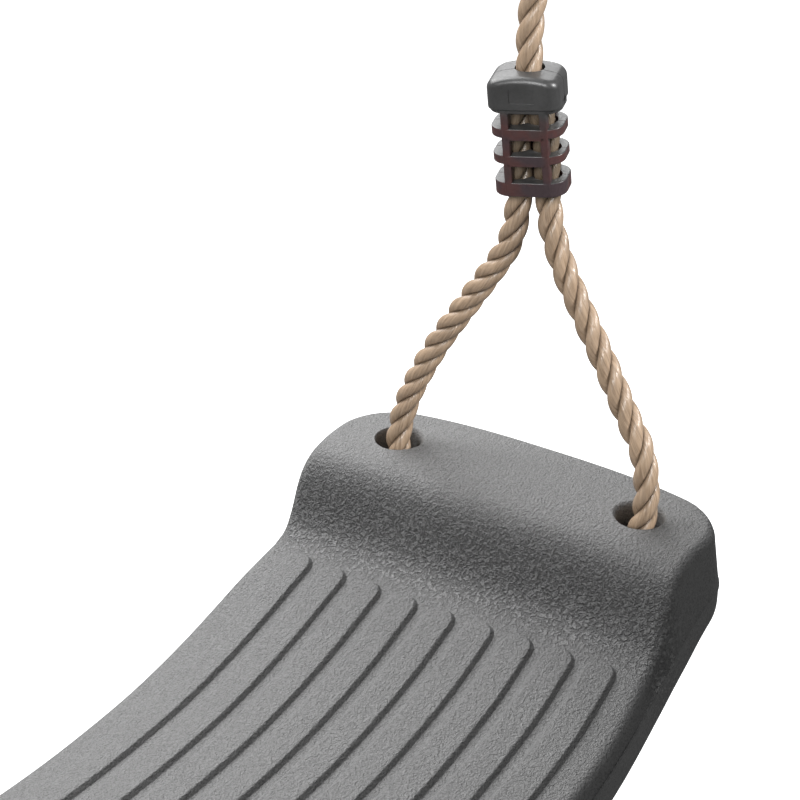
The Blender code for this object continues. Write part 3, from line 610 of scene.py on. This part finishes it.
def fitting_plastic():
    """Black moulded plastic of the ferrule, thimble and end cap."""
    s = Shader("fitting_plastic", roughness=0.38, specular=0.5)
    place = s.place()
    fine = s.noise(place, 700.0, detail=3.0, roughness=0.6)
    broad = s.noise(place, 40.0, detail=2.0)
    colour = s.ramp(broad, (0.3, (0.028, 0.028, 0.029)), (0.7, (0.045, 0.044, 0.043)))
    colour = s.mixed(1.0, colour, s.ramp(fine, (0.3, 0.85), (0.7, 1.1)), 'MULTIPLY')
    return s.use(Base_Color=colour, Normal=s.bump(fine, 0.00005),
                 Roughness=s.scaled(fine, 0.3, 0.7, 0.32, 0.46))


def zinc_steel():
    """Bright zinc plating with a faint spangle and dull rubbed patches."""
    s = Shader("zinc_steel", roughness=0.3, metallic=1.0)
    place = s.place()
    spangle = s.noise(place, 160.0, detail=3.0, roughness=0.6)
    scuff = s.noise(s.stretched(place, (900.0, 900.0, 140.0)), 1.0, detail=2.0)
    colour = s.ramp(spangle, (0.3, (0.46, 0.47, 0.48)), (0.7, (0.62, 0.62, 0.61)))
    rough = s.scaled(spangle, 0.3, 0.7, 0.24, 0.42)
    return s.use(Base_Color=colour, Roughness=rough, Normal=s.bump(scuff, 0.00003))


# ------------------------ rope

def eye_arc():
    """The rope's turn round the thimble, from the tail's side over the top."""
    angles = [math.radians(200 - 22 * k) for k in range(11)]
    return [(EYE_RADIUS / MM * math.cos(a), 0, (THIMBLE_H + EYE_RADIUS * math.sin(a)) / MM) for a in angles]


def bend_arc(sign):
    """The rope's quarter turn under one hole, from the hole's side inwards."""
    middle = HOLE_Y - BEND_RADIUS
    top = UNDER_H + BEND_RADIUS
    return [(0, sign * (middle + BEND_RADIUS * math.cos(a)) / MM, (top - BEND_RADIUS * math.sin(a)) / MM)
            for a in [math.radians(90 * k / 4) for k in range(5)]]


def rope_route():
    """All the rope's own points, from its tail end through the eye and the bridle to its last end."""
    run = FERRULE_RUN / MM
    up = [(-run, 0, 212), (-run, 0, 225), (-run, 0, 242), (-run, 0, 258), (-9.0, 0, 270), (-14, 0, 283)]
    over = [(14, 0, 283), (9.0, 0, 270), (run, 0, 258)]
    under = [(0, -20, UNDER_H / MM), (0, 0, UNDER_H / MM), (0, 20, UNDER_H / MM)]
    return (up + eye_arc() + over + ROUTE_DOWN + ROUTE_FRONT_LEG + bend_arc(-1) + under
            + list(reversed(bend_arc(1))) + ROUTE_REAR_LEG)


def placed_route(side, spacing):
    """The rope's curve on one side of the seat, in the model's frame."""
    points = [(side * (HOLE_X + x * MM), y * MM, height(h * MM)) for x, y, h in rope_route()]
    return smooth_route(points, spacing)


def strand_section():
    """Outline of three strands, as (angle, radius, share of the way out of the groove)."""
    def on_strand(u):
        return STRAND_OFFSET + STRAND_RADIAL * math.cos(u), STRAND_ACROSS * math.sin(u)

    low, high = 0.0, math.pi
    for _ in range(40):
        middle = (low + high) / 2
        x, y = on_strand(middle)
        if math.atan2(y, x) < math.pi / 3 and middle < math.pi * 0.75:
            low = middle
        else:
            high = middle
    edge = low
    section = []
    for strand in range(3):
        for k in range(STRAND_POINTS):
            x, y = on_strand(-edge + 2 * edge * k / STRAND_POINTS)
            section.append((strand, math.atan2(y, x) + strand * 2 * math.pi / 3, math.hypot(x, y)))
    return section


def twisted_rope(name, route):
    """One closed mesh of three laid strands, with a fibre map and the depth of each groove."""
    section = strand_section()
    deepest = min(radius for _, _, radius in section)
    outer = STRAND_OFFSET + STRAND_RADIAL
    frames = route_frames(route)
    bm = bmesh.new()
    rise = bm.verts.layers.float.new("rise")
    fibre = bm.loops.layers.uv.new("fibre")
    rings = []
    travelled = [0.0]
    for a, b in zip(route, route[1:]):
        travelled.append(travelled[-1] + (b - a).length)
    for place, (_, across, over), s in zip(route, frames, travelled):
        twist = 2 * math.pi * s / LAY_LENGTH
        ring = []
        for _, angle, radius in section:
            turn = angle + twist
            vert = bm.verts.new(place + radius * (across * math.cos(turn) + over * math.sin(turn)))
            vert[rise] = (radius - deepest) / (outer - deepest)
            ring.append(vert)
        rings.append(ring)
    count = len(section)
    for r in range(len(rings) - 1):
        twist = [2 * math.pi * travelled[r + k] / LAY_LENGTH for k in (0, 1)]
        for i in range(count):
            j = (i + 1) % count
            face = bm.faces.new((rings[r][i], rings[r][j], rings[r + 1][j], rings[r + 1][i]))
            strand = section[i][0]
            start = section[i][1]
            end = section[j][1] if j else section[0][1] + 2 * math.pi
            corners = ((start + twist[0], r), (end + twist[0], r), (end + twist[1], r + 1),
                       (start + twist[1], r + 1))
            for loop, (turn, row) in zip(face.loops, corners):
                loop[fibre].uv = (turn * ROPE_RADIUS + strand, travelled[row])
    bmesh.ops.triangulate(bm, faces=[bm.faces.new(reversed(rings[0])), bm.faces.new(rings[-1])])
    bmesh.ops.recalc_face_normals(bm, faces=bm.faces)
    obj = object_from_bmesh(name, bm)
    obj.data.shade_smooth()
    obj.data.set_sharp_from_angle(angle=math.radians(60))
    return obj, travelled[-1]


def make_rope(tag, side, mat):
    route = placed_route(side, ROPE_STEP)
    rope, length = twisted_rope(f"{tag}_laid_rope", route)
    finish_piece(rope, mat, f"rope_{tag}", "rope_fibre", f"{tag}_rope")
    return rope


# ------------------------ seat

def wall_draft(x):
    """How far the walls lean out above the parting line at a place along the seat."""
    return DISH_DRAFT + (RISE_DRAFT - DISH_DRAFT) * grown(abs(x), DRAFT_GROWS)


def shaped_ends(place):
    """A point of the straight-sided seat, moved so that the ends bow and the sides taper to them."""
    x, y, z = place
    back = END_BOW * (abs(y) / BOW_Y)**BOW_POWER * grown(abs(x), BOW_GROWS)
    narrow = 1 - END_TAPER / (SEAT_WIDTH / 2) * grown(abs(x), TAPER_GROWS)
    return Vector((math.copysign(abs(x) - back, x), y * narrow, z))


def half_width(x):
    """Half the seat's width at x, on its outline with rounded corners."""
    past = max(abs(x) - (SEAT_LENGTH / 2 - CORNER_RADIUS), 0.0)
    return SEAT_WIDTH / 2 - CORNER_RADIUS + math.sqrt(max(CORNER_RADIUS**2 - past**2, 0.0))


def inset_from_outline(x, y):
    """Distance from a point inside the seat's outline to that outline."""
    qx = abs(x) - (SEAT_LENGTH / 2 - CORNER_RADIUS)
    qy = abs(y) - (SEAT_WIDTH / 2 - CORNER_RADIUS)
    outside = math.hypot(max(qx, 0.0), max(qy, 0.0)) + min(max(qx, qy), 0.0)
    return CORNER_RADIUS - outside


def edge_drop(inset, radius):
    """How far a rounded rim has fallen at a distance inside the outline."""
    short = min(max(radius - inset, 0.0), radius)
    return radius - math.sqrt(radius**2 - short**2)


def parting_h(x):
    return hermite(PARTING_LINE, abs(x) / MM) * MM


def rim_drop(inset, x, rim):
    """How far the rounded rim and the leaning wall have fallen at a distance inside the outline."""
    draft = wall_draft(x)
    rounding = edge_drop(inset - draft, TOP_EDGE_RADIUS)
    depth = rim - parting_h(x)
    return rounding + (depth - TOP_EDGE_RADIUS) * min(max(1 - inset / draft, 0.0), 1.0)


def dish_h(x, y):
    """Height of the seat's top without its ribs."""
    crown = PLATFORM_CROWN * min(abs(y) / CROWN_HALF_WIDTH, 1.0)**3
    surface = hermite(TOP_LINE, abs(x) / MM) * MM - crown
    return surface - rim_drop(inset_from_outline(x, y), x, surface)


def bottom_h(x, y):
    line = hermite(BOTTOM_LINE, abs(x) / MM) * MM
    return line + edge_drop(inset_from_outline(x, y), BOTTOM_EDGE_RADIUS)


def seat_rows():
    """Places along the seat, closer on the rises and at the rounded ends."""
    end = SEAT_LENGTH / 2
    corner = [end - CORNER_RADIUS + CORNER_RADIUS * math.sin(math.radians(4.5 * k)) for k in range(21)]
    half = spread(0, 126 * MM, 4 * MM)[:-1] + spread(126 * MM, end - CORNER_RADIUS, 1.6 * MM)[:-1] + corner
    return [-x for x in reversed(half[1:])] + half


def seat_section(x):
    """The closed loop of the seat's surface at one place along it."""
    wide = half_width(x)
    rim_y = wide - wall_draft(x)
    start = rim_y - TOP_EDGE_RADIUS
    rounding = [rim_y - TOP_EDGE_RADIUS * (1 - math.cos(math.radians(a))) for a in range(81, -1, -9)]
    flat = [start * (2 * k / FLAT_STEPS - 1) for k in range(FLAT_STEPS + 1)]
    across = [-y for y in reversed(rounding)] + flat + rounding
    loop = [Vector((x, y, height(dish_h(x, y)))) for y in across]
    rim = height(dish_h(x, rim_y))
    parting = height(parting_h(x))
    foot = height(bottom_h(x, wide))
    ridge = min(2 * PARTING_RIDGE, (rim - parting) / 2)
    leaning = [(rim_y + (wide - rim_y) * k / 4, rim + (parting - rim) * k / 4) for k in (1, 2, 3)]
    wall = leaning + [(wide, parting + ridge), (wide + PARTING_RIDGE, parting), (wide, parting - ridge),
                      (wide, foot + (parting - foot) / 2)]
    under = [wide - BOTTOM_EDGE_RADIUS * (1 - math.cos(math.radians(a))) for a in range(0, 91, 10)]
    under += [under[-1] * (1 - k / 10) for k in range(1, 10)]
    right = [Vector((x, y, z)) for y, z in wall] + [Vector((x, y, height(bottom_h(x, y)))) for y in under]
    left = [Vector((p.x, -p.y, p.z)) for p in reversed(right)]
    loop += right + [Vector((x, 0.0, height(bottom_h(x, 0.0))))] + left
    return [shaped_ends(place) for place in loop]


def seat_body():
    """The moulding's smooth outer body."""
    bm = bmesh.new()
    rings = [[bm.verts.new(place) for place in seat_section(x)] for x in seat_rows()]
    join_rings(bm, rings)
    return object_from_bmesh("moulded_seat", bm)


def seat_rib(index):
    """One raised rib: a long island with rounded tips that follows the dish."""
    middle = index * RIB_PITCH
    tip = RIB_TIP - RIB_TIP_STEP * (1 - (2 * index / (RIB_COUNT - 1))**2)

    def on_dish(place):
        x, y, z = place
        return shaped_ends((x, middle + y, z + height(dish_h(x, middle + y))))

    wall = RIB_FOOT_HALF - RIB_TOP_HALF
    crest = RIB_HEIGHT
    levels = [(0.0, -1.2 * MM), (-0.3 * MM, -0.06 * MM), (0.06 * MM, 0.1 * MM), (0.25 * MM, 0.34 * MM),
              (wall - 0.15 * MM, crest - 0.3 * MM), (wall + 0.15 * MM, crest - 0.1 * MM),
              (wall + 0.5 * MM, crest), (3.4 * MM, crest)]
    return slab(f"rib_{index}", tip, RIB_FOOT_HALF, RIB_TIP_RADIUS, levels, corner_steps=12,
                straight_step=4 * MM, shape=on_dish)


def flared_hole(x, y):
    """A cutter that opens a rope hole and rounds over its upper rim."""
    steps = [math.radians(90 * k / 8) for k in range(9)]
    rim = [(HOLE_RADIUS + HOLE_RIM_ROUND * (1 - math.cos(a)), -HOLE_RIM_ROUND * (1 - math.sin(a)))
           for a in steps]
    profile = [(HOLE_RADIUS, HOLE_CUT_H)] + rim + [(HOLE_RADIUS + HOLE_RIM_ROUND, 12 * MM)]
    bm = bmesh.new()
    rings = []
    for radius, h in profile:
        circle = bmesh.ops.create_circle(bm, segments=64, radius=radius,
                                         matrix=Matrix.Translation((x, y, height(h - GAP))))
        rings.append(circle["verts"])
    join_rings(bm, rings)
    return object_from_bmesh("hole", bm)


def rope_channel(x):
    """A cutter for the channel that takes the rope under one end of the seat."""
    start = HOLE_Y - BEND_RADIUS
    radius = BEND_RADIUS - ROPE_RADIUS - SADDLE_CLEAR
    top = UNDER_H + BEND_RADIUS
    arc = [(start + radius * math.cos(a), top - radius * math.sin(a))
           for a in [math.radians(10 + 80 * k / 10) for k in range(11)]]
    reach = HOLE_Y + CHANNEL_PAST_HOLE
    right = [(reach, CHANNEL_CUT_H), (reach, arc[0][1])] + arc
    outline = right + [(-y, h) for y, h in reversed(right)]
    half = HOLE_RADIUS - CHANNEL_NARROWER
    bm = bmesh.new()
    rings = [[bm.verts.new((x + side * half, y, height(h))) for y, h in outline] for side in (-1, 1)]
    join_rings(bm, rings)
    return object_from_bmesh("channel", bm)


def make_seat(mat):
    seat = seat_body()
    ribs = [seat_rib(index) for index in range(-(RIB_COUNT // 2), RIB_COUNT // 2 + 1)]
    combined(seat, joined(ribs), operation='UNION')
    holes = [flared_hole(side * HOLE_X, y) for _, side in SIDES for y in (-HOLE_Y, HOLE_Y)]
    blow = upright("blow_hole", (0, 0, height(bottom_h(0, 0))), BLOW_HOLE_RADIUS, 2 * BLOW_HOLE_DEPTH)
    # Known fault: the solver leaves both channel cutters in the mesh, as a block under each end
    combined(seat, joined(holes + [blow]), joined([rope_channel(side * HOLE_X) for _, side in SIDES]))
    smooth(seat, angle=38)
    finish_piece(seat, mat, "seat", "seat_plastic", "seat_shell")


def joined(objects):
    """Objects that don't touch each other, as one."""
    bm = bmesh.new()
    for obj in objects:
        bm.from_mesh(obj.data)
        bpy.data.objects.remove(obj, do_unlink=True)
    return object_from_bmesh("joined", bm)


def make_plug(mat):
    """The vent plug: a low domed head with a rounded rim on a short shank."""
    low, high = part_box("seat_vent_plug")
    radius = (high.x - low.x) / 2
    head = 1.5 * MM
    dome = [(radius * math.sin(a), low.z + 0.6 * MM * (1 - math.cos(a)))
            for a in [math.radians(6 + 10.5 * k) for k in range(9)]]
    profile = dome + [(radius, low.z + head), (BLOW_HOLE_RADIUS - GAP, low.z + head),
                      (BLOW_HOLE_RADIUS - GAP, high.z - 0.5 * MM), (BLOW_HOLE_RADIUS - 0.8 * MM, high.z),
                      (0.3 * MM, high.z), (0.3 * MM, low.z + 0.6 * MM)]
    plug = smooth(turned("vent_plug", profile, steps=48))
    finish_piece(plug, mat, "seat", "seat_plastic", "seat_vent_plug")


# ------------------------ length adjuster

def adjuster_frame(side):
    """Where the adjuster sits: turned about the rope and leaning with it."""
    place = Matrix.Translation((side * (HOLE_X + ADJUSTER_X), ADJUSTER_Y, height(ADJUSTER_H)))
    across = Vector((side * math.sin(ADJUSTER_TWIST), -math.cos(ADJUSTER_TWIST), 0))
    outward = Vector((side, 0, 0))
    up = Vector((0, 0, 1)) - across * math.tan(ADJUSTER_LEAN) - outward * math.tan(ADJUSTER_PITCH)
    up.normalize()
    across = (across - up * across.dot(up)).normalized()
    turn = Matrix((across, up.cross(across), up)).transposed().to_4x4()
    return place @ turn


def adjuster_head():
    """The head: a rounded block with a domed top and a shallow panel sunk in each face."""
    def domed(place):
        x, y, z = place
        share = grown(z, (HEAD_BOTTOM + 2 * MM, HEAD_CREST - HEAD_ROUND))
        return Vector((x, y, z - (HEAD_CREST - HEAD_SHOULDER) * share * (x / ADJUSTER_HALF_WIDTH)**2))

    turn = [math.radians(15 * k) for k in range(7)]
    foot = [(0.7 * MM * (1 - math.sin(a)), HEAD_BOTTOM + 0.7 * MM * (1 - math.cos(a))) for a in turn]
    side = [(0.0, HEAD_BOTTOM + 3 * MM * k) for k in range(1, 4)]
    top = [(HEAD_ROUND * (1 - math.cos(a)), HEAD_CREST - HEAD_ROUND * (1 - math.sin(a))) for a in turn]
    inner = [(3.4 * MM, HEAD_CREST), (6 * MM, HEAD_CREST), (8.8 * MM, HEAD_CREST)]
    deep = ADJUSTER_HALF_DEPTH + HEAD_OVERHANG
    head = slab("head", ADJUSTER_HALF_WIDTH, deep, HEAD_CORNER, foot + side + top + inner,
                straight_step=1.2 * MM, shape=domed)
    panels = []
    for sign in (-1, 1):
        panel = slab("panel", 4.6 * MM, 2.7 * MM, 0.5 * MM, edge_levels(-0.35 * MM, 0.35 * MM, 0.1 * MM))
        panel.data.transform(Matrix.Translation((0, sign * deep, 20.6 * MM))
                             @ Matrix.Rotation(math.pi / 2, 4, 'X'))
        panels.append(panel)
    return combined(head, joined(panels))


def upright_bar(low, high, edge):
    """A bar of the ladder between two corners, with its upright edges rounded."""
    middle = (Vector(low) + Vector(high)) / 2
    half = (Vector(high) - Vector(low)) / 2
    bar = slab("bar", half.x, half.y, edge, [(0.0, -half.z), (0.0, half.z)], corner_steps=4)
    bar.data.transform(Matrix.Translation(middle))
    return bar


def adjuster_body(side):
    """Head, rings, the four stiles and the back wall, as one solid in the adjuster's own frame."""
    body = adjuster_head()
    lip = (HEAD_BOTTOM - HEAD_LIP, HEAD_BOTTOM + 2 * MM)
    for low, high in RING_LEVELS + [lip]:
        ring = slab("ring", ADJUSTER_HALF_WIDTH, ADJUSTER_HALF_DEPTH, RING_CORNER,
                    edge_levels(low, high, RING_EDGE), straight_step=1.2 * MM)
        combined(body, ring, operation='UNION')
    low = RING_LEVELS[0][0] + 2 * MM
    high = HEAD_BOTTOM + 2 * MM
    front = ADJUSTER_HALF_DEPTH - 0.04 * MM
    for face in (-1, 1):
        near, far = sorted((STILE_BACK * face, front * face))
        for flank in (-1, 1):
            inner, outer = sorted((STILE_INNER * flank, STILE_OUTER * flank))
            combined(body, upright_bar((inner, near, low), (outer, far, high), 0.5 * MM), operation='UNION')
        for ring_low, ring_high in RING_LEVELS[1:]:
            bar = upright_bar((-STILE_OUTER + MM, near, ring_low - BAR_DROP),
                              (STILE_OUTER - MM, far, ring_high - MM), 0.5 * MM)
            combined(body, bar, operation='UNION')
    near, far = sorted((BACK_WALL * side, (front - 0.1 * MM) * side))
    wall = upright_bar((-STILE_INNER - MM, near, low), (STILE_INNER + MM, far, high), 0.3 * MM)
    return combined(body, wall, operation='UNION')


def make_adjuster(tag, side, mat):
    route = placed_route(side, 2 * MM)
    lowest = min(range(len(route)), key=lambda i: (round(route[i].z, 5), abs(route[i].y)))
    main = [p for p in route[:lowest] if height(105 * MM) <= p.z <= height(185 * MM)]
    rear = [p for p in route[lowest:] if height(105 * MM) <= p.z]
    rear.append(rear[-1] + (rear[-1] - rear[-2]).normalized() * 4 * MM)
    body = adjuster_body(side)
    frame = adjuster_frame(side)
    combined(body, upright_bar((-SLOT[0], -SLOT[1], -25 * MM), SLOT, 0.5 * MM))
    body.data.transform(frame)
    combined(body, tube("main_channel", main, CHANNEL_RADIUS), tube("rear_channel", rear, CHANNEL_RADIUS))
    halves = []
    for half, sign in (("inner", -side), ("outer", side)):
        piece = bpy.data.objects.new(f"{tag}_adjuster_half_{half}", body.data.copy())
        bpy.context.scene.collection.objects.link(piece)
        far = 60 * MM
        other = slab("other", far, far, MM, [(0.0, -far), (0.0, 2 * far)], corner_steps=2, straight_step=far)
        other.data.transform(frame @ Matrix.Translation((0, SPLIT * sign - far * sign, 0)))
        combined(piece, other)
        smooth(piece)
        halves.append(finish_piece(piece, mat, f"rope_{tag}", "adjuster_plastic", f"{tag}_adjuster_{half}"))
    bpy.data.objects.remove(body, do_unlink=True)
    return halves


# ------------------------ eye, ring and hanger

def make_tail_cap(tag, side, mat):
    """A sleeve with a rounded closed end over the rope's tail."""
    route = placed_route(side, 2 * MM)
    inward = (route[1] - route[0]).normalized()
    outer = CAP_RADIUS
    bore = ROPE_RADIUS + 1.5 * GAP
    closed = GAP + CAP_WALL
    turn = [math.radians(15 * k) for k in range(7)]
    end = [(outer - CAP_ROUND + CAP_ROUND * math.sin(a), CAP_ROUND * (1 - math.cos(a))) for a in turn]
    lip = [(outer, CAP_LENGTH - CAP_ROUND), (outer, CAP_LENGTH - 0.4 * MM), (outer - 0.3 * MM, CAP_LENGTH),
           (bore, CAP_LENGTH), (bore, closed - GAP), (CAP_AXIS_HOLE, closed - GAP), (CAP_AXIS_HOLE, 0.0)]
    cap = turned(f"{tag}_end_cap", end + lip, steps=48)
    turned_to = inward.to_track_quat('Z', 'Y').to_matrix().to_4x4()
    cap.data.transform(Matrix.Translation(route[0] - inward * closed) @ turned_to)
    smooth(cap)
    finish_piece(cap, mat, f"rope_{tag}", "fitting_plastic", f"{tag}_rope_tail_cap")


def make_ferrule(tag, side, mat):
    """A pressed sleeve with rounded ends and two shallow pressed bands."""
    low, high = height(FERRULE_BOTTOM_H), height(FERRULE_TOP_H)
    middle = (low + high) / 2
    levels = edge_levels(low, high, 1.2 * MM, steps=5)
    upper = levels[6:]
    bands = []
    for centre in (middle - 7 * MM, middle + 7 * MM):
        for k in range(-4, 5):
            bands.append((0.5 * MM * math.cos(math.pi / 8 * k)**2, centre + 0.7 * MM * k))
    body = slab(f"{tag}_pressed_ferrule", FERRULE_WIDTH / 2, FERRULE_DEPTH / 2, FERRULE_DEPTH / 2 - GAP,
                levels[:6] + bands + upper, corner_steps=12, straight_step=1.5 * MM)
    body.data.transform(Matrix.Translation((side * HOLE_X, 0, 0)))
    route = placed_route(side, 2 * MM)
    for sign in (-1, 1):
        run = [p for p in route
               if height(215 * MM) < p.z < height(270 * MM) and (p.x - side * HOLE_X) * side * sign > 0]
        combined(body, tube("bore", run, CHANNEL_RADIUS))
    smooth(body)
    finish_piece(body, mat, f"rope_{tag}", "fitting_plastic", f"{tag}_ferrule")


def make_thimble(tag, side, mat):
    """A grooved eye, turned about an axis across the seat."""
    inner = []
    for k in range(13):
        y = THIMBLE_HALF_WIDTH * (1 - k / 6)
        inner.append((THIMBLE_HOLE_RADIUS + y**2 / (24 * MM), -y))
    depth = ROPE_RADIUS + 2 * GAP
    groove = []
    for k in range(17):
        a = math.radians(24 + (180 - 48) * k / 16)
        groove.append((EYE_RADIUS - depth * math.sin(a), depth * math.cos(a)))
    soft = 0.4 * MM
    upper = [(THIMBLE_RIM_RADIUS - soft, THIMBLE_HALF_WIDTH), (THIMBLE_RIM_RADIUS, THIMBLE_HALF_WIDTH - soft)]
    lower = [(THIMBLE_RIM_RADIUS, soft - THIMBLE_HALF_WIDTH),
             (THIMBLE_RIM_RADIUS - soft, -THIMBLE_HALF_WIDTH)]
    thimble = turned(f"{tag}_eye_thimble", inner + upper + groove + lower, steps=96)
    thimble.data.transform(Matrix.Translation((side * HOLE_X, 0, height(THIMBLE_H)))
                           @ Matrix.Rotation(math.pi / 2, 4, 'X'))
    smooth(thimble)
    finish_piece(thimble, mat, f"rope_{tag}", "fitting_plastic", f"{tag}_thimble")


def make_ring(tag, side, mat):
    """A round steel ring with the low bead of its butt weld at the lower left."""
    around, about = 144, 28
    bm = bmesh.new()
    rings = []
    for k in range(around):
        a = 2 * math.pi * k / around
        away = abs((a - math.radians(160) + math.pi) % (2 * math.pi) - math.pi) * RING_RADIUS
        wire = RING_WIRE - 0.12 * MM + 0.12 * MM * math.exp(-(away / (1.6 * MM))**2)
        ring = []
        for j in range(about):
            b = 2 * math.pi * j / about
            reach = RING_RADIUS + wire * math.cos(b)
            ring.append(bm.verts.new((wire * math.sin(b), reach * math.cos(a), reach * math.sin(a))))
        rings.append(ring)
    for k, ring in enumerate(rings):
        following = rings[(k + 1) % around]
        strip(bm, ring, following)
    bmesh.ops.recalc_face_normals(bm, faces=bm.faces)
    obj = object_from_bmesh(f"{tag}_steel_ring", bm)
    obj.data.transform(Matrix.Translation((side * HOLE_X, 0, height(RING_CENTRE_H))))
    smooth(obj, angle=60)
    finish_piece(obj, mat, f"ring_{tag}", "zinc_steel", f"{tag}_ring")


def make_bow(tag, side, mat):
    """The hanger's U of round bar, its legs ending just inside the plate's holes."""
    low = height(BOW_H)
    turn = [math.radians(6 * k) for k in range(16)]
    left = [(-(BOW_HALF_WIDTH - BOW_CORNER) - BOW_CORNER * math.cos(a), low + BOW_CORNER * (1 - math.sin(a)))
            for a in turn]
    leg = [(-BOW_HALF_WIDTH, z) for z in reversed(spread(left[0][1], -GAP, 2 * MM)[1:])]
    half = leg + left
    outline = half + [(-x, z) for x, z in reversed(half)]
    route = [Vector((side * HOLE_X + x, 0, z)) for x, z in outline]
    bow = tube(f"{tag}_steel_bow", route, BOW_WIRE, sides=40)
    smooth(bow, angle=50)
    finish_piece(bow, mat, "hangers", "zinc_steel", f"{tag}_hanger_bow")


def make_plate(tag, side, mat):
    """The hanger plate: soft edges, two countersunk screw holes and two holes for the bow."""
    plate = slab(f"{tag}_steel_plate", PLATE_LENGTH / 2, PLATE_WIDTH / 2, PLATE_CORNER,
                 edge_levels(-PLATE_THICK, 0.0, PLATE_EDGE), straight_step=4 * MM)
    holes = []
    for x in (-BOW_HALF_WIDTH, BOW_HALF_WIDTH):
        holes.append(upright("hole", (x, 0, -PLATE_THICK / 2), BOW_WIRE + GAP * 1.5, 3 * PLATE_THICK))
    for x in (-SCREW_X, SCREW_X):
        bm = bmesh.new()
        profile = [(SCREW_RADIUS + 3.4 * MM, -PLATE_THICK - MM), (SCREW_RADIUS + 2.4 * MM, -PLATE_THICK),
                   (SCREW_RADIUS, -PLATE_THICK + 2.4 * MM), (SCREW_RADIUS, MM)]
        rings = []
        for radius, z in profile:
            circle = bmesh.ops.create_circle(bm, segments=48, radius=radius,
                                             matrix=Matrix.Translation((x, 0, z)))
            rings.append(circle["verts"])
        join_rings(bm, rings)
        holes.append(object_from_bmesh("sink", bm))
    combined(plate, joined(holes))
    plate.data.transform(Matrix.Translation((side * HOLE_X, 0, 0)))
    smooth(plate)
    finish_piece(plate, mat, "hangers", "zinc_steel", f"{tag}_hanger_plate")


# ------------------------ camera, floor and light

def make_camera():
    forward = CAMERA_FORWARD.normalized()
    right = forward.cross(Vector((0, 0, 1))).normalized()
    up = right.cross(forward)
    cos, sin = math.cos(CAMERA_ROLL), math.sin(CAMERA_ROLL)
    rolled_right = right * cos + up * sin
    rolled_up = up * cos - right * sin
    data = bpy.data.cameras.new("Camera")
    data.lens = CAMERA_LENS
    data.sensor_width = 36.0
    data.clip_end = 50.0
    camera = bpy.data.objects.new("Camera", data)
    turn = Matrix((rolled_right, rolled_up, -forward)).transposed().to_4x4()
    camera.matrix_world = Matrix.Translation(CAMERA_PLACE) @ turn
    bpy.context.scene.collection.objects.link(camera)
    bpy.context.scene.camera = camera


def make_floor():
    """A plain white floor well below the hanging seat."""
    bm = bmesh.new()
    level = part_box("seat_shell")[0].z - FLOOR_BELOW_SEAT
    bmesh.ops.create_grid(bm, x_segments=1, y_segments=1, size=12.0, matrix=Matrix.Translation((0, 0, level)))
    floor = object_from_bmesh("floor", bm)
    s = Shader("floor_paint", roughness=0.9, specular=0.1)
    s.base.inputs["Emission Color"].default_value = (1, 1, 1, 1)
    s.base.inputs["Emission Strength"].default_value = 0.75
    mottle = s.noise(s.place(), 3.0)
    s.use(Base_Color=s.ramp(mottle, (0.3, 0.86), (0.7, 0.88)))
    floor.data.materials.append(s.mat)
    floor.visible_diffuse = False
    floor.visible_glossy = False


def area_light(name, towards, distance, size, power, target):
    """A square soft light that looks at a target from a direction."""
    data = bpy.data.lights.new(name, 'AREA')
    data.shape = 'RECTANGLE'
    data.size, data.size_y = size
    data.energy = power
    light = bpy.data.objects.new(name, data)
    direction = Vector(towards).normalized()
    light.location = Vector(target) + direction * distance
    light.rotation_euler = direction.to_track_quat('Z', 'Y').to_euler()
    bpy.context.scene.collection.objects.link(light)
    return light


def make_light(pieces):
    world = bpy.data.worlds.new("World")
    bpy.context.scene.world = world
    world.use_nodes = True
    background = world.node_tree.nodes["Background"]
    background.inputs["Color"].default_value = (1.0, 1.0, 1.0, 1.0)
    background.inputs["Strength"].default_value = 0.19
    middle = (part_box("seat_shell")[0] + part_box("seat_shell")[1]) / 2
    area_light("key", (0.2, 0.8, 0.95), 1.6, (1.2, 1.2), 33.0, middle)
    area_light("back", (0.75, 0.55, 0.5), 1.8, (1.4, 0.9), 12.0, middle)
    aim = (HOLE_X, 0, height(ROPE_LIGHT_H))
    fill = area_light("rope_fill", (-0.9, -0.15, 0.55), 1.5, (0.7, 0.7), 22.0, aim)
    glint = area_light("rope_glint", (0.35, -0.8, 0.6), 1.5, (0.3, 0.3), 26.0, aim)
    group = bpy.data.collections.new("lit_above_seat")
    for piece in pieces:
        group.objects.link(piece)
    for light in (fill, glint):
        light.light_linking.receiver_collection = group


def main():
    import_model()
    make_camera()
    rope_mat = rope_fibre()
    lit = [make_rope(tag, side, rope_mat) for tag, side in SIDES]
    seat_mat = seat_plastic()
    make_seat(seat_mat)
    make_plug(seat_mat)
    adjuster_mat = adjuster_plastic()
    fitting_mat = fitting_plastic()
    steel_mat = zinc_steel()
    for tag, side in SIDES:
        lit += make_adjuster(tag, side, adjuster_mat)
        make_tail_cap(tag, side, fitting_mat)
        make_ferrule(tag, side, fitting_mat)
        make_thimble(tag, side, fitting_mat)
        make_ring(tag, side, steel_mat)
        make_bow(tag, side, steel_mat)
        make_plate(tag, side, steel_mat)
    make_floor()
    make_light(lit)
    bpy.context.scene.view_settings.view_transform = 'Standard'
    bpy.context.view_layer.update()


main()
